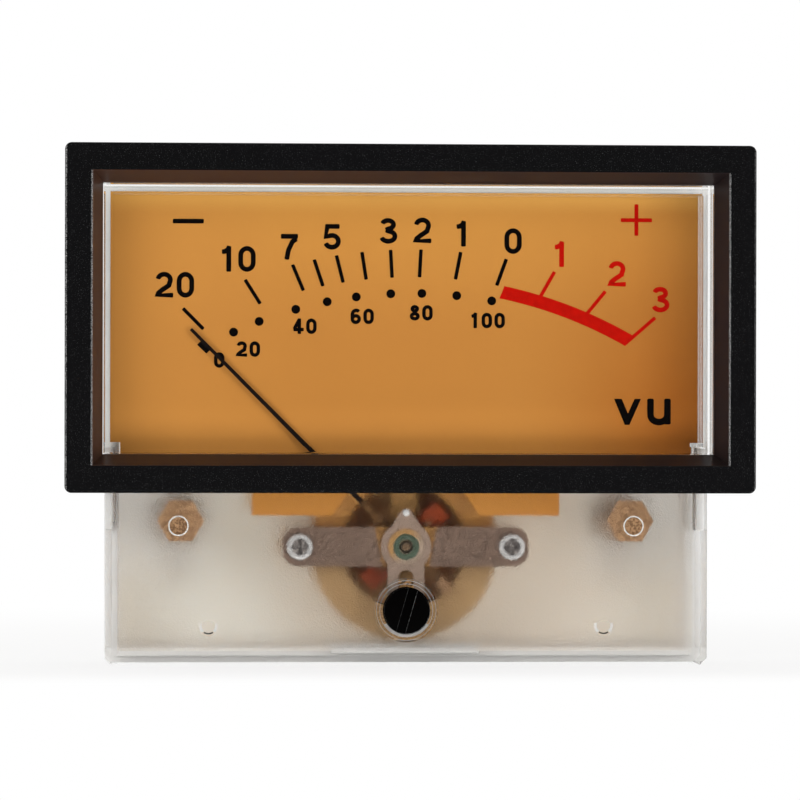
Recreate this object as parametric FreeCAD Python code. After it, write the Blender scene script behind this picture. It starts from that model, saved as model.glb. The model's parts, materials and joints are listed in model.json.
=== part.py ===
"""Analog VU panel meter, in millimetres.

+X is right, +Y runs back into the panel and +Z is up. The origin lies on the pointer's axis,
in the plane of the skirt's front face, where the back of the panel rests.
"""

import FreeCAD, Part
import math
import os

V = FreeCAD.Vector

# ---- Casings ----
WINDOW_W = 88.8          # raised window box, outside
WINDOW_H = 39.2
WINDOW_ABOVE_AXIS = 13.7
WINDOW_RISE = 5.0        # window face in front of the skirt face
WINDOW_T = 2.0
WINDOW_WALL = 1.4          # sides and top of the window box
WINDOW_SILL = 1.1
CASE_W = 88.2            # skirt and rear case, outside
CASE_BELOW_AXIS = 17.2
CASE_WALL = 2.0
CASE_CHAMFER = 1.0
SKIRT_T = 1.8
COVER_DEPTH = 12.0       # skirt face to the seam
CASE_DEPTH = 24.0        # skirt face to the outside of the rear case
FLOOR_T = 2.0
LAP_LENGTH = 2.5         # lap joint at the seam
LAP_GAP = 0.1
LATCH_W = 21.8           # bottom latch pocket
LATCH_POCKET = 0.5
LATCH_REACH = 6.0
SNAP_BOTTOM = 2.5        # side snap arms, above the axis
SNAP_TALL = 12.0
SNAP_REACH = 6.0
SNAP_T = 1.1
SNAP_BEAD = 0.35
SNAP_RAMP = 1.05
RIB_T = 1.2
RIB_DEEP = 2.0
EDGE_R = 0.3

# ---- Bezel ----
BEZEL_W = 100.0
BEZEL_H = 50.4
BEZEL_DEPTH = 10.0
BEZEL_LIP = 4.0          # width of the flat front border
BEZEL_CORNER_R = 1.0
BEZEL_EDGE_R = 0.5
BEZEL_FIT = 0.1          # slip fit on the window box
BEZEL_WALL_OUT = 2.0     # the back is cored between two walls
BEZEL_WALL_IN = 1.6
BEZEL_CORE_DEPTH = 6.0

# ---- Depths of the movement, behind the skirt face ----
LEVER_Y = 3.0
LEVER_T = 0.6
BRIDGE_GAP = 0.1         # lever to bridge
BRIDGE_T = 1.2
SPRING_GAP = 0.3
SPRING_W = 0.3
POINTER_GAP = 0.4
POINTER_T = 0.25
HUB_FLANGE_T = 0.25
WINDING_T = 0.9
FORMER_T = 0.3
HOLDER_GAP = 0.4
HOLDER_T = 0.7
CORE_LONG = 7.0
COIL_REAR_GAP = 0.4
YOKE_LONG = 8.0
YOKE_SLOT = 0.5
FRAME_T = 1.2
FRAME_STANDOFF = 1.6     # movement frame to case floor

# ---- Movement, across ----
YOKE_R = 13.9
YOKE_AIR_GAP = 1.4       # winding to yoke
EAR_R = 2.6
CORE_AIR_GAP = 0.6       # core to former
HOLDER_W = 3.6
COIL_HALF = 6.6          # inside of the former
COIL_W = 3.0
BRIDGE_PAST_SCREW = 2.5
BRIDGE_H = 5.8
BRIDGE_CORNER_R = 2.3
SCREW_OFF_YOKE = 1.7     # screw axis outside the yoke's rim
DIMPLE_X = 10.4
DIMPLE_R = 1.4
DIMPLE_DEEP = 0.2
SCREW_R = 1.0            # M2
SCREW_HEAD_R = 1.95
SCREW_HEAD_T = 1.0
SCREW_HOLE_GAP = 0.05
SPACER_R = 2.2
FRAME_SET_IN = 0.4       # inside the yoke's rim
FRAME_TAB_PAST = 3.0     # frame tab past the dial posts
FRAME_TAB_LOW = 5.0
FRAME_TAB_HIGH = 13.0

# ---- Bearings, hairsprings and moving coil ----
STAFF_R = 0.5
STAFF_TIP = 0.55
STAFF_FLANGE_R = 1.5
JEWEL_R = 0.9
JEWEL_T = 0.9
JEWEL_CUP_R = 0.75
JEWEL_CUP_DEEP = 0.55
PIVOT_PLAY = 0.05
JEWEL_SCREW_R = 1.75
JEWEL_SCREW_HOLE_R = 1.0
JEWEL_SCREW_HOLE_DEEP = 0.65
JEWEL_SCREW_PROUD = 0.05
BUSH_WALL = 0.45
BUSH_SHOULDER = 0.15
BUSH_FLANGE = 0.3
BUSH_FLANGE_T = 0.2
RUNNING_GAP = 0.05
COLLET_R = 1.1
COLLET_T = 0.5
SPIRAL_GAP = 0.04        # first turn to collet
SPIRAL_PITCH = 0.8
SPIRAL_TURNS = 4
SPIRAL_STRIP = 0.12
POINTER_REST = -44.8     # degrees from straight up
POINTER_LONG = 44.9
POINTER_BASE_W = 0.8
POINTER_TIP_W = 0.48
POINTER_ARM_W = 0.9
POINTER_HUB_R = 1.5
POINTER_Y = 2.4          # middle of the blade, in front of the dial
CRANK_START = 6.5
CRANK_END = 9.6
TAIL_LONG = 9.3
SIDE_ARM_LONG = 5.2
SIDE_ARM_W = 0.5
TAIL_WEIGHT_R = 0.9
TAIL_WEIGHT_LONG = 2.32
SIDE_WEIGHT_R = 0.34
SIDE_WEIGHT_LONG = 1.1

# ---- Zero adjuster ----
ZERO_BELOW_AXIS = 9.3
ZERO_SCREW_R = 3.32
ZERO_SCREW_SET_IN = 0.1
ZERO_SLOT_W = 1.3
ZERO_SLOT_DEEP = 0.8
ZERO_SLOT_TILT = 16.0
ZERO_BEAD = 0.15
ZERO_BEAD_Y = 1.35
ZERO_BEAD_T = 0.5
ZERO_BOSS_R = 4.65
ZERO_BOSS_LONG = 0.9
ZERO_THROW = 1.0         # eccentric pin
ZERO_PIN_R = 1.0
ZERO_PIN_PAST = 0.5
LEVER_RING_W = 1.3
LEVER_TIP = 5.6
LEVER_TIP_W = 0.9
LEVER_TAB_W = 4.4
LEVER_FORK_W = 5.4
LEVER_SLOT_W = 2.3
LEVER_SLOT_TOP = 3.4
LEVER_FORK_PAST = 1.9
LEVER_POST_W = 1.2
LEVER_POST_T = 0.9

# ---- Dial ----
DIAL_Y = 3.6
DIAL_T = 0.8
DIAL_GAP = 0.2
DIAL_SEAT = 1.4          # rebate in the cover's walls for the wide part of the dial
DIAL_WIDE_LOW = 15.3     # where the wide part starts
DIAL_TAB_W = 45.2
DIAL_TAB_LOW = 4.6
DIAL_BODY_LOW = 10.0
NOTCH_HALF_LOW = 10.9
NOTCH_HALF_MID = 8.9
NOTCH_MID = 7.4
NOTCH_TOP = 12.6
DIAL_POST_DROP = 2.8     # from the top of the frame's tab
DIAL_THREAD = 4.0
DIAL_HEAD_R = 1.75
DIAL_HEAD_T = 0.8
DIAL_HEAD_GAP = 0.53     # head to the stop beside it
DIAL_POST_R = 2.0
STOP_R = 0.4
STOP_Z = 10.4
STOP_MARGIN = 1.0        # degrees past the pointer's last position
STOP_HEAD_GAP = 0.35

# ---- Travel, in degrees; the joints use the same values ----
POINTER_MIN_ANGLE = -3.0
POINTER_MAX_ANGLE = 94.0
LEVER_SWING_ANGLE = 5.9

# ---- Terminals and backlight ----
TERMINAL_X = 33.05
TERMINAL_Z = 3.8
TERMINAL_HEX = 6.0       # across flats
TERMINAL_Y = 3.0         # front end of the hex pillar
STUD_R = 1.5             # M3
STUD_CORE_R = 1.25       # the thread's core, which the nut's bore shares
SHOULDER_R = 2.0         # of the pillar in the case floor
STUD_END = 35.0
PAD_R = 4.6
PAD_T = 0.8
WASHER_R = 3.5
WASHER_T = 0.5
LUG_R = 3.2
LUG_T = 0.5
LUG_LONG = 10.0
LUG_W = 3.4
LUG_EYE_R = 0.8
NUT_HEX = 5.5
NUT_T = 2.4
LEAD_R = 0.35
LEAD_RISE = 3.6
LEAD_BEND_R = 1.6
TAG_T = 0.3
TAG_W = 2.6
INSULATOR_T = 0.2
BOARD_ABOVE_MID = 6.7    # above the middle of the window
BOARD_W = 50.0
BOARD_H = 9.0
BOARD_T = 1.2
BOARD_SCREW_INSET = 3.5
BOARD_BOSS_R = 2.3
LED_PITCH = 13.0
LED_W = 3.5
LED_H = 2.8
LED_T = 1.9
LED_COUNT = 3
PIN_PITCH = 7.5
PIN_R = 0.5
PIN_OUT = 5.0
MARK_DEEP = 0.15
PIN_MARK_X = 33.4
PIN_MARK_Z = 3.1
PIN_MARK_R = 1.4
LOW_MARK_X = 29.0
LOW_MARK_Z = -11.9
LOW_MARK_R = 1.2

# ---- Places worked out from the sizes above ----
HALF_WIN = WINDOW_W / 2
HALF_CASE = CASE_W / 2
WIN_LOW = WINDOW_ABOVE_AXIS
WIN_HIGH = WIN_LOW + WINDOW_H
CASE_LOW = -CASE_BELOW_AXIS
CASE_HIGH = WIN_HIGH - (WINDOW_W - CASE_W) / 2
IN_HALF = HALF_CASE - CASE_WALL
IN_LOW = CASE_LOW + CASE_WALL
IN_HIGH = CASE_HIGH - CASE_WALL
FLOOR_Y = CASE_DEPTH - FLOOR_T
WIN_MID = (WIN_LOW + WIN_HIGH) / 2

LEVER_BACK = LEVER_Y + LEVER_T
BRIDGE_Y = LEVER_BACK + BRIDGE_GAP
BRIDGE_BACK = BRIDGE_Y + BRIDGE_T
SPRING_Y = BRIDGE_BACK + SPRING_GAP
SPRING_BACK = SPRING_Y + SPRING_W
HUB_Y = SPRING_BACK + POINTER_GAP
HUB_BACK = HUB_Y + POINTER_T
COIL_Y = HUB_BACK + HUB_FLANGE_T
FORMER_Y = COIL_Y + WINDING_T
HOLDER_Y = FORMER_Y + FORMER_T + HOLDER_GAP
CORE_Y = HOLDER_Y + HOLDER_T
CORE_BACK = CORE_Y + CORE_LONG
YOKE_Y = CORE_Y - YOKE_SLOT
YOKE_BACK = YOKE_Y + YOKE_LONG
FORMER_BACK = CORE_BACK + COIL_REAR_GAP + FORMER_T
COIL_BACK = FORMER_BACK + WINDING_T
FRAME_BACK = FLOOR_Y - FRAME_STANDOFF
FRAME_Y = FRAME_BACK - FRAME_T
TAG_Y = FRAME_Y - INSULATOR_T - TAG_T
REAR_SPRING_Y = (COIL_BACK + TAG_Y) / 2 - SPRING_W / 2
COIL_OUT = COIL_HALF + FORMER_T + WINDING_T
CORE_R = COIL_HALF - CORE_AIR_GAP
YOKE_BORE_R = COIL_OUT + YOKE_AIR_GAP
BRIDGE_SCREW_X = YOKE_R + SCREW_OFF_YOKE
BRIDGE_L = 2 * (BRIDGE_SCREW_X + BRIDGE_PAST_SCREW)
FRAME_DISC_R = YOKE_R - FRAME_SET_IN
STOP_ANGLES = (POINTER_REST + POINTER_MIN_ANGLE - LEVER_SWING_ANGLE - STOP_MARGIN,
               POINTER_REST + POINTER_MAX_ANGLE + LEVER_SWING_ANGLE + STOP_MARGIN)
STOP_XS = [STOP_Z * math.tan(math.radians(angle))
           + math.copysign(POINTER_BASE_W / 2 + STOP_R, angle) / math.cos(math.radians(angle))
           for angle in STOP_ANGLES]
DIAL_POST_X = STOP_XS[1] + STOP_R + DIAL_HEAD_GAP + DIAL_HEAD_R
FRAME_TAB_W = 2 * (DIAL_POST_X + FRAME_TAB_PAST)
DIAL_POST_Z = FRAME_TAB_HIGH - DIAL_POST_DROP
BOARD_Z = WIN_MID + BOARD_ABOVE_MID
BOARD_SCREW_X = BOARD_W / 2 - BOARD_SCREW_INSET
BUSH_SHANK_R = JEWEL_SCREW_R + BUSH_WALL
BUSH_COLLAR_R = BUSH_SHANK_R + BUSH_SHOULDER
BUSH_FLANGE_R = BUSH_COLLAR_R + BUSH_FLANGE
LEVER_RING_R = BUSH_COLLAR_R + RUNNING_GAP + LEVER_RING_W
SPIRAL_START_R = COLLET_R + SPIRAL_GAP + SPIRAL_STRIP / 2
SPIRAL_END_R = SPIRAL_START_R + SPIRAL_TURNS * SPIRAL_PITCH
SCREW_HOLE_R = SCREW_R + SCREW_HOLE_GAP
DIAL_BACK = DIAL_Y + DIAL_T
SEAT_HALF = IN_HALF + DIAL_SEAT
SEAT_HIGH = IN_HIGH + DIAL_SEAT
HEX_CORNER = 2 / math.sqrt(3) / 2


def box(x0, x1, y0, y1, z0, z1):
    return Part.makeBox(x1 - x0, y1 - y0, z1 - z0, V(x0, y0, z0))


def centred(width, y0, y1, z0, z1):
    return box(-width / 2, width / 2, y0, y1, z0, z1)


def disc(x, z, r, y0, y1):
    return Part.makeCylinder(r, y1 - y0, V(x, y0, z), V(0, 1, 0))


def cone(x, z, r0, r1, y0, y1):
    return Part.makeCone(r0, r1, y1 - y0, V(x, y0, z), V(0, 1, 0))


def tube(x, z, r_out, r_in, y0, y1):
    return disc(x, z, r_out, y0, y1).cut(disc(x, z, r_in, y0, y1))


def slab(points, y0, y1):
    """A flat plate with the outline given as (x, z) points."""
    corners = [V(x, y0, z) for x, z in points]
    return Part.Face(Part.makePolygon(corners + corners[:1])).extrude(V(0, y1 - y0, 0))


def hexagon(x, z, across, y0, y1):
    """A hexagonal prism along Y with flats above and below."""
    r = across * HEX_CORNER
    turns = [math.radians(60 * i) for i in range(6)]
    return slab([(x + r * math.cos(a), z + r * math.sin(a)) for a in turns], y0, y1)


def along_y(shape):
    """The edges of a shape that run along Y."""
    found = []
    for edge in shape.Edges:
        ends = [v.Point for v in edge.Vertexes]
        if len(ends) == 2 and abs(ends[0].x - ends[1].x) + abs(ends[0].z - ends[1].z) < 1e-6:
            found.append(edge)
    return found


def in_plane(shape, y):
    """The edges of a shape that lie in one plane across Y."""
    return [e for e in shape.Edges if abs(e.BoundBox.YMin - y) + abs(e.BoundBox.YMax - y) < 1e-6]


def rounded(x0, x1, y0, y1, z0, z1, r):
    body = box(x0, x1, y0, y1, z0, z1)
    return body.makeFillet(r, along_y(body))


def fuse(*shapes):
    whole = shapes[0].multiFuse(list(shapes[1:])) if len(shapes) > 1 else shapes[0]
    return whole.removeSplitter()


def cut(body, *tools):
    for tool in tools:
        body = body.cut(tool)
    return body


def pair(shape):
    """A shape and its mirror image across the middle plane."""
    return [shape, shape.mirror(V(0, 0, 0), V(1, 0, 0))]


def turned(shape, degrees):
    """Turned about the pointer's axis; positive swings the top to the right."""
    copy = shape.copy()
    copy.rotate(V(0, 0, 0), V(0, 1, 0), degrees)
    return copy


def case_outline(half, low, high, y0, y1):
    """A case block whose two lower corners are chamfered."""
    body = box(-half, half, y0, y1, low, high)
    lower = [e for e in along_y(body) if abs(e.BoundBox.ZMin - low) < 1e-6]
    return body.makeChamfer(CASE_CHAMFER, lower)


def make_bezel():
    half_w, half_h = BEZEL_W / 2, BEZEL_H / 2
    low, high = WIN_MID - half_h, WIN_MID + half_h
    body = rounded(-half_w, half_w, -BEZEL_DEPTH, 0, low, high, BEZEL_CORNER_R)
    body = body.makeFillet(BEZEL_EDGE_R, in_plane(body, -BEZEL_DEPTH))
    sleeve_w = HALF_WIN + BEZEL_FIT
    sleeve_h = WINDOW_H / 2 + BEZEL_FIT
    sleeve = box(-sleeve_w, sleeve_w, -BEZEL_DEPTH, 0, WIN_MID - sleeve_h, WIN_MID + sleeve_h)
    lip_w, lip_h = half_w - BEZEL_LIP, half_h - BEZEL_LIP
    front = rectangle(lip_w, lip_h, -BEZEL_DEPTH)
    back = rectangle(sleeve_w, sleeve_h, -WINDOW_RISE)
    body = cut(body, sleeve, Part.makeLoft([front, back], True))
    core_out = box(-half_w + BEZEL_WALL_OUT, half_w - BEZEL_WALL_OUT, -BEZEL_CORE_DEPTH, 0,
                   low + BEZEL_WALL_OUT, high - BEZEL_WALL_OUT)
    inner = sleeve_w + BEZEL_WALL_IN
    inner_h = sleeve_h + BEZEL_WALL_IN
    core_in = box(-inner, inner, -BEZEL_CORE_DEPTH, 0, WIN_MID - inner_h, WIN_MID + inner_h)
    return body.cut(core_out.cut(core_in))


def rectangle(half_w, half_h, y):
    ends = ((-half_w, -half_h), (half_w, -half_h), (half_w, half_h), (-half_w, half_h))
    corners = [V(x, y, WIN_MID + z) for x, z in ends]
    return Part.makePolygon(corners + corners[:1])


def snap_slot(grow):
    """The recess in the right wall that holds a snap arm, or the arm itself with grow 0."""
    deep = SNAP_T + grow
    return box(HALF_CASE - deep, HALF_CASE + grow, COVER_DEPTH - SNAP_REACH - grow,
               COVER_DEPTH, SNAP_BOTTOM - grow, SNAP_BOTTOM + SNAP_TALL + grow)


def snap_bead(grow):
    """The bead on the inside of a snap arm."""
    y = COVER_DEPTH - SNAP_REACH + 1.5 * SNAP_T
    x = HALF_CASE - SNAP_T - grow
    bead = slab([(x + SNAP_T / 2, y - SNAP_BEAD - grow), (x + SNAP_T / 2, y + SNAP_RAMP),
                 (x, y + SNAP_RAMP), (x - SNAP_BEAD, y + SNAP_BEAD), (x - SNAP_BEAD, y),
                 (x, y - SNAP_BEAD - grow)], 0, SNAP_TALL - 2 * SNAP_T)
    bead.rotate(V(0, 0, 0), V(1, 0, 0), 90)
    bead = bead.mirror(V(0, 0, 0), V(0, 1, 0))
    box_now = bead.BoundBox
    bead.translate(V(0, y - SNAP_BEAD - grow - box_now.YMin, SNAP_BOTTOM + SNAP_T - box_now.ZMin))
    return bead


def make_front_cover():
    window = box(-HALF_WIN, HALF_WIN, -WINDOW_RISE, SKIRT_T, WIN_LOW, WIN_HIGH)
    window = window.makeFillet(EDGE_R, in_plane(window, -WINDOW_RISE))
    skirt = case_outline(HALF_CASE, CASE_LOW, CASE_HIGH, 0, COVER_DEPTH)
    body = window.fuse(skirt)
    back = COVER_DEPTH
    room_half = HALF_WIN - WINDOW_WALL
    window_room = box(-room_half, room_half, WINDOW_T - WINDOW_RISE, DIAL_Y,
                      WIN_LOW + WINDOW_SILL, WIN_HIGH - WINDOW_WALL)
    skirt_room = box(-IN_HALF, IN_HALF, SKIRT_T, back, IN_LOW, IN_HIGH)
    seat = box(-SEAT_HALF, SEAT_HALF, DIAL_Y, back, DIAL_WIDE_LOW - LAP_GAP, SEAT_HIGH)
    lap = box(-IN_HALF - CASE_WALL / 2, IN_HALF + CASE_WALL / 2, back - LAP_LENGTH, back,
              IN_LOW - CASE_WALL / 2, IN_HIGH + CASE_WALL / 2)
    pocket = centred(LATCH_W, back - LATCH_REACH - LAP_GAP, back, IN_LOW - LATCH_POCKET, IN_LOW)
    body = cut(body, window_room, skirt_room, seat, lap, pocket)
    slots = pair(snap_slot(LAP_GAP)) + pair(snap_bead(LAP_GAP / 2))
    body = cut(body, *slots)
    zero_z = -ZERO_BELOW_AXIS
    boss_end = SKIRT_T + ZERO_BOSS_LONG
    body = body.fuse(disc(0, zero_z, ZERO_BOSS_R, SKIRT_T, boss_end))
    bore_r = ZERO_SCREW_R + RUNNING_GAP
    groove = disc(0, zero_z, bore_r + ZERO_BEAD, ZERO_BEAD_Y - RUNNING_GAP,
                  ZERO_BEAD_Y + ZERO_BEAD_T + RUNNING_GAP)
    body = cut(body, disc(0, zero_z, bore_r, 0, boss_end), groove)
    floor = SKIRT_T - MARK_DEEP
    marks = pair(disc(PIN_MARK_X, PIN_MARK_Z, PIN_MARK_R, floor, SKIRT_T))
    marks += pair(disc(LOW_MARK_X, LOW_MARK_Z, LOW_MARK_R, floor, SKIRT_T))
    return cut(body, *marks).removeSplitter()


def dial_ribs():
    """Upright ribs inside the rear case whose front ends carry the edge of the dial."""
    side = box(IN_HALF - RIB_DEEP, IN_HALF, DIAL_BACK, FLOOR_Y, 0, RIB_T)
    ribs = []
    for share in (0.12, 0.5, 0.88):
        z = WIN_LOW + share * WINDOW_H
        placed = side.copy()
        placed.translate(V(0, 0, z - RIB_T / 2))
        ribs += pair(placed)
    for share in (-0.5, 0.5):
        x = share * IN_HALF
        ribs.append(box(x - RIB_T / 2, x + RIB_T / 2, DIAL_BACK, FLOOR_Y, IN_HIGH - RIB_DEEP, IN_HIGH))
    return ribs


def make_rear_case():
    body = case_outline(HALF_CASE, CASE_LOW, CASE_HIGH, COVER_DEPTH, CASE_DEPTH)
    body = body.makeFillet(EDGE_R, in_plane(body, CASE_DEPTH))
    body = body.cut(box(-IN_HALF, IN_HALF, COVER_DEPTH, FLOOR_Y, IN_LOW, IN_HIGH))
    tongue = CASE_WALL / 2 - LAP_GAP
    lap = box(-IN_HALF - tongue, IN_HALF + tongue, COVER_DEPTH - LAP_LENGTH + LAP_GAP, COVER_DEPTH,
              IN_LOW - tongue, IN_HIGH + tongue)
    lap = lap.cut(box(-IN_HALF, IN_HALF, 0, COVER_DEPTH, IN_LOW, IN_HIGH))
    for arm in pair(snap_slot(LAP_GAP)):
        lap = lap.cut(arm)
    clamp = box(LAP_GAP - SEAT_HALF, SEAT_HALF - LAP_GAP, DIAL_BACK, COVER_DEPTH,
                DIAL_WIDE_LOW, SEAT_HIGH - LAP_GAP)
    clamp = clamp.cut(box(-IN_HALF, IN_HALF, 0, COVER_DEPTH, IN_LOW, IN_HIGH))
    latch = centred(LATCH_W - 2 * LAP_GAP, COVER_DEPTH - LATCH_REACH, COVER_DEPTH,
                    IN_LOW - LATCH_POCKET + LAP_GAP, IN_LOW + CASE_WALL / 2)
    latch_root = centred(LATCH_W - 2 * LAP_GAP, COVER_DEPTH, COVER_DEPTH + CASE_WALL,
                         IN_LOW, IN_LOW + CASE_WALL / 2)
    arms = pair(snap_slot(0)) + pair(snap_bead(0))
    bosses = pair(disc(DIAL_POST_X, DIAL_POST_Z, DIAL_POST_R + 1, FRAME_BACK, FLOOR_Y))
    bosses += pair(disc(BOARD_SCREW_X, BOARD_Z, BOARD_BOSS_R, FLOOR_Y - FRAME_STANDOFF, FLOOR_Y))
    bosses.append(disc(0, EAR_R - FRAME_DISC_R, EAR_R, FRAME_BACK, FLOOR_Y))
    pads = pair(disc(TERMINAL_X, TERMINAL_Z, PAD_R, CASE_DEPTH, CASE_DEPTH + PAD_T))
    body = fuse(body, lap, clamp, latch, latch_root, *arms, *dial_ribs(), *bosses, *pads)
    holes = pair(disc(TERMINAL_X, TERMINAL_Z, SHOULDER_R, FLOOR_Y, CASE_DEPTH + PAD_T))
    holes += pair(disc(DIAL_POST_X, DIAL_POST_Z, SCREW_R, FRAME_BACK, CASE_DEPTH - FLOOR_T / 2))
    holes += pair(disc(BOARD_SCREW_X, BOARD_Z, SCREW_R, 0, CASE_DEPTH - FLOOR_T / 2))
    holes += pair(disc(PIN_PITCH / 2, BOARD_Z, PIN_R, FLOOR_Y, CASE_DEPTH))
    return cut(body, *holes)


def make_dial_plate():
    half = IN_HALF - DIAL_GAP
    wide = SEAT_HALF - LAP_GAP
    wide_part = box(-wide, wide, DIAL_Y, DIAL_BACK, DIAL_WIDE_LOW, SEAT_HIGH - LAP_GAP)
    body = box(-half, half, DIAL_Y, DIAL_BACK, DIAL_BODY_LOW, DIAL_WIDE_LOW).fuse(wide_part)
    tab = centred(DIAL_TAB_W, DIAL_Y, DIAL_BACK, DIAL_TAB_LOW, DIAL_BODY_LOW)
    lean = (NOTCH_HALF_LOW - NOTCH_HALF_MID) / (NOTCH_MID - DIAL_TAB_LOW)
    top_half = NOTCH_HALF_MID - lean * (NOTCH_TOP - NOTCH_MID)
    right = [(NOTCH_HALF_LOW, DIAL_TAB_LOW), (NOTCH_HALF_MID, NOTCH_MID), (top_half, NOTCH_TOP)]
    left = [(-x, z) for x, z in reversed(right)]
    notch = slab(right + left, DIAL_Y, DIAL_BACK)
    body = cut(body.fuse(tab), notch, *pair(disc(DIAL_POST_X, DIAL_POST_Z, SCREW_R, DIAL_Y, DIAL_BACK)))
    return cut(body, *stop_pegs(DIAL_Y, DIAL_BACK)).removeSplitter()


def stop_pegs(y0, y1):
    """One peg just past each end of the pointer's travel."""
    return [disc(x, STOP_Z, STOP_R, y0, y1) for x in STOP_XS]


def make_pointer_stops():
    return Part.makeCompound(stop_pegs(SKIRT_T + STOP_HEAD_GAP, DIAL_BACK))


def pan_screw(x, z, y, shank_end, r=SCREW_R, head_r=SCREW_HEAD_R, head_t=SCREW_HEAD_T):
    """A cross-recessed screw whose head stands in front of y."""
    head = disc(x, z, head_r, y - head_t, y)
    head = head.makeFillet(head_t * 0.45, in_plane(head, y - head_t))
    recess_w = head_r * 0.3
    reach = head_r * 0.62
    deep = head_t * 0.6
    recess = fuse(box(x - recess_w / 2, x + recess_w / 2, y - head_t, y - head_t + deep, z - reach, z + reach),
                  box(x - reach, x + reach, y - head_t, y - head_t + deep, z - recess_w / 2, z + recess_w / 2))
    return fuse(head.cut(recess), disc(x, z, r, y, shank_end))


def make_dial_screws():
    """The heads stand on the dial, and the shanks go into the posts."""
    return Part.makeCompound(pair(pan_screw(DIAL_POST_X, DIAL_POST_Z, DIAL_Y, DIAL_BACK + DIAL_THREAD,
                                            head_r=DIAL_HEAD_R, head_t=DIAL_HEAD_T)))


def make_dial_posts():
    body = disc(DIAL_POST_X, DIAL_POST_Z, DIAL_POST_R, DIAL_BACK, FRAME_Y)
    body = body.cut(disc(DIAL_POST_X, DIAL_POST_Z, SCREW_R, DIAL_BACK, DIAL_BACK + DIAL_THREAD))
    stud = disc(DIAL_POST_X, DIAL_POST_Z, SCREW_R, FRAME_Y, CASE_DEPTH - FLOOR_T)
    return Part.makeCompound(pair(body.fuse(stud)))


def make_bridge():
    body = rounded(-BRIDGE_L / 2, BRIDGE_L / 2, BRIDGE_Y, BRIDGE_BACK,
                   -BRIDGE_H / 2, BRIDGE_H / 2, BRIDGE_CORNER_R)
    holes = pair(disc(BRIDGE_SCREW_X, 0, SCREW_HOLE_R, BRIDGE_Y, BRIDGE_BACK))
    holes += pair(disc(DIMPLE_X, 0, DIMPLE_R, BRIDGE_Y, BRIDGE_Y + DIMPLE_DEEP))
    holes.append(disc(0, 0, BUSH_SHANK_R, BRIDGE_Y, BRIDGE_BACK))
    return cut(body, *holes)


def make_bridge_screws():
    return Part.makeCompound(pair(pan_screw(BRIDGE_SCREW_X, 0, BRIDGE_Y, FRAME_BACK)))


def spacers(y0, y1):
    return Part.makeCompound(pair(tube(BRIDGE_SCREW_X, 0, SPACER_R, SCREW_HOLE_R, y0, y1)))


def make_yoke():
    body = fuse(disc(0, 0, YOKE_R, YOKE_Y, YOKE_BACK),
                *pair(disc(BRIDGE_SCREW_X, 0, EAR_R, YOKE_Y, YOKE_BACK)))
    holes = pair(disc(BRIDGE_SCREW_X, 0, SCREW_HOLE_R, YOKE_Y, YOKE_BACK))
    slot = centred(HOLDER_W, YOKE_Y, CORE_Y, -holder_half(), holder_half())
    return cut(body, disc(0, 0, YOKE_BORE_R, YOKE_Y, YOKE_BACK), slot, *holes)


def holder_half():
    return (YOKE_BORE_R + YOKE_R) / 2


def make_core_holder():
    """The bar across the bore that carries the magnet in the middle of the coil."""
    half = holder_half()
    bar = centred(HOLDER_W, HOLDER_Y, CORE_Y, -half, half)
    return bar.cut(disc(0, 0, STAFF_R * 2, HOLDER_Y, CORE_Y))


def make_core():
    return disc(0, 0, CORE_R, CORE_Y, CORE_BACK)


def make_frame():
    body = fuse(disc(0, 0, FRAME_DISC_R, FRAME_Y, FRAME_BACK),
                *pair(disc(BRIDGE_SCREW_X, 0, EAR_R, FRAME_Y, FRAME_BACK)),
                centred(FRAME_TAB_W, FRAME_Y, FRAME_BACK, FRAME_TAB_LOW, FRAME_TAB_HIGH))
    holes = pair(disc(BRIDGE_SCREW_X, 0, SCREW_R, FRAME_Y, FRAME_BACK))
    holes += pair(disc(DIAL_POST_X, DIAL_POST_Z, SCREW_R, FRAME_Y, FRAME_BACK))
    holes.append(disc(0, 0, JEWEL_SCREW_R, FRAME_Y, FRAME_BACK))
    return cut(body, *holes)


def make_front_bushing():
    flange_y = LEVER_Y - RUNNING_GAP - BUSH_FLANGE_T
    body = fuse(disc(0, 0, BUSH_FLANGE_R, flange_y, LEVER_Y - RUNNING_GAP),
                disc(0, 0, BUSH_COLLAR_R, LEVER_Y - RUNNING_GAP, BRIDGE_Y),
                disc(0, 0, BUSH_SHANK_R, BRIDGE_Y, BRIDGE_BACK))
    return body.cut(disc(0, 0, JEWEL_SCREW_R, 0, CASE_DEPTH))


def jewel_screw(head, tip):
    """A bearing screw from its slotted end to the end that holds the jewel."""
    way = 1 if tip > head else -1
    y0, y1 = min(head, tip), max(head, tip)
    body = disc(0, 0, JEWEL_SCREW_R, y0, y1)
    hole_end = head + way * JEWEL_SCREW_HOLE_DEEP
    hole = disc(0, 0, JEWEL_SCREW_HOLE_R, min(head, hole_end), max(head, hole_end))
    slot = centred(2 * JEWEL_SCREW_R, min(head, hole_end), max(head, hole_end), -STAFF_R / 2, STAFF_R / 2)
    seat = tip - way * JEWEL_T
    return cut(body, hole, slot, disc(0, 0, JEWEL_R, min(tip, seat), max(tip, seat)))


def jewel(tip, way):
    """A V-jewel whose cup opens at tip; way points from the jewel's back to its cup."""
    back = tip - way * JEWEL_T
    body = disc(0, 0, JEWEL_R, min(tip, back), max(tip, back))
    bottom = tip - way * JEWEL_CUP_DEEP
    if way > 0:
        return body.cut(cone(0, 0, 0, JEWEL_CUP_R, bottom, tip))
    return body.cut(cone(0, 0, JEWEL_CUP_R, 0, tip, bottom))


FRONT_JEWEL_Y = BRIDGE_BACK + JEWEL_SCREW_PROUD
REAR_JEWEL_Y = FRAME_Y - JEWEL_CUP_DEEP


def make_front_jewel_screw():
    return jewel_screw(LEVER_Y - RUNNING_GAP - BUSH_FLANGE_T / 2, FRONT_JEWEL_Y)


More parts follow.
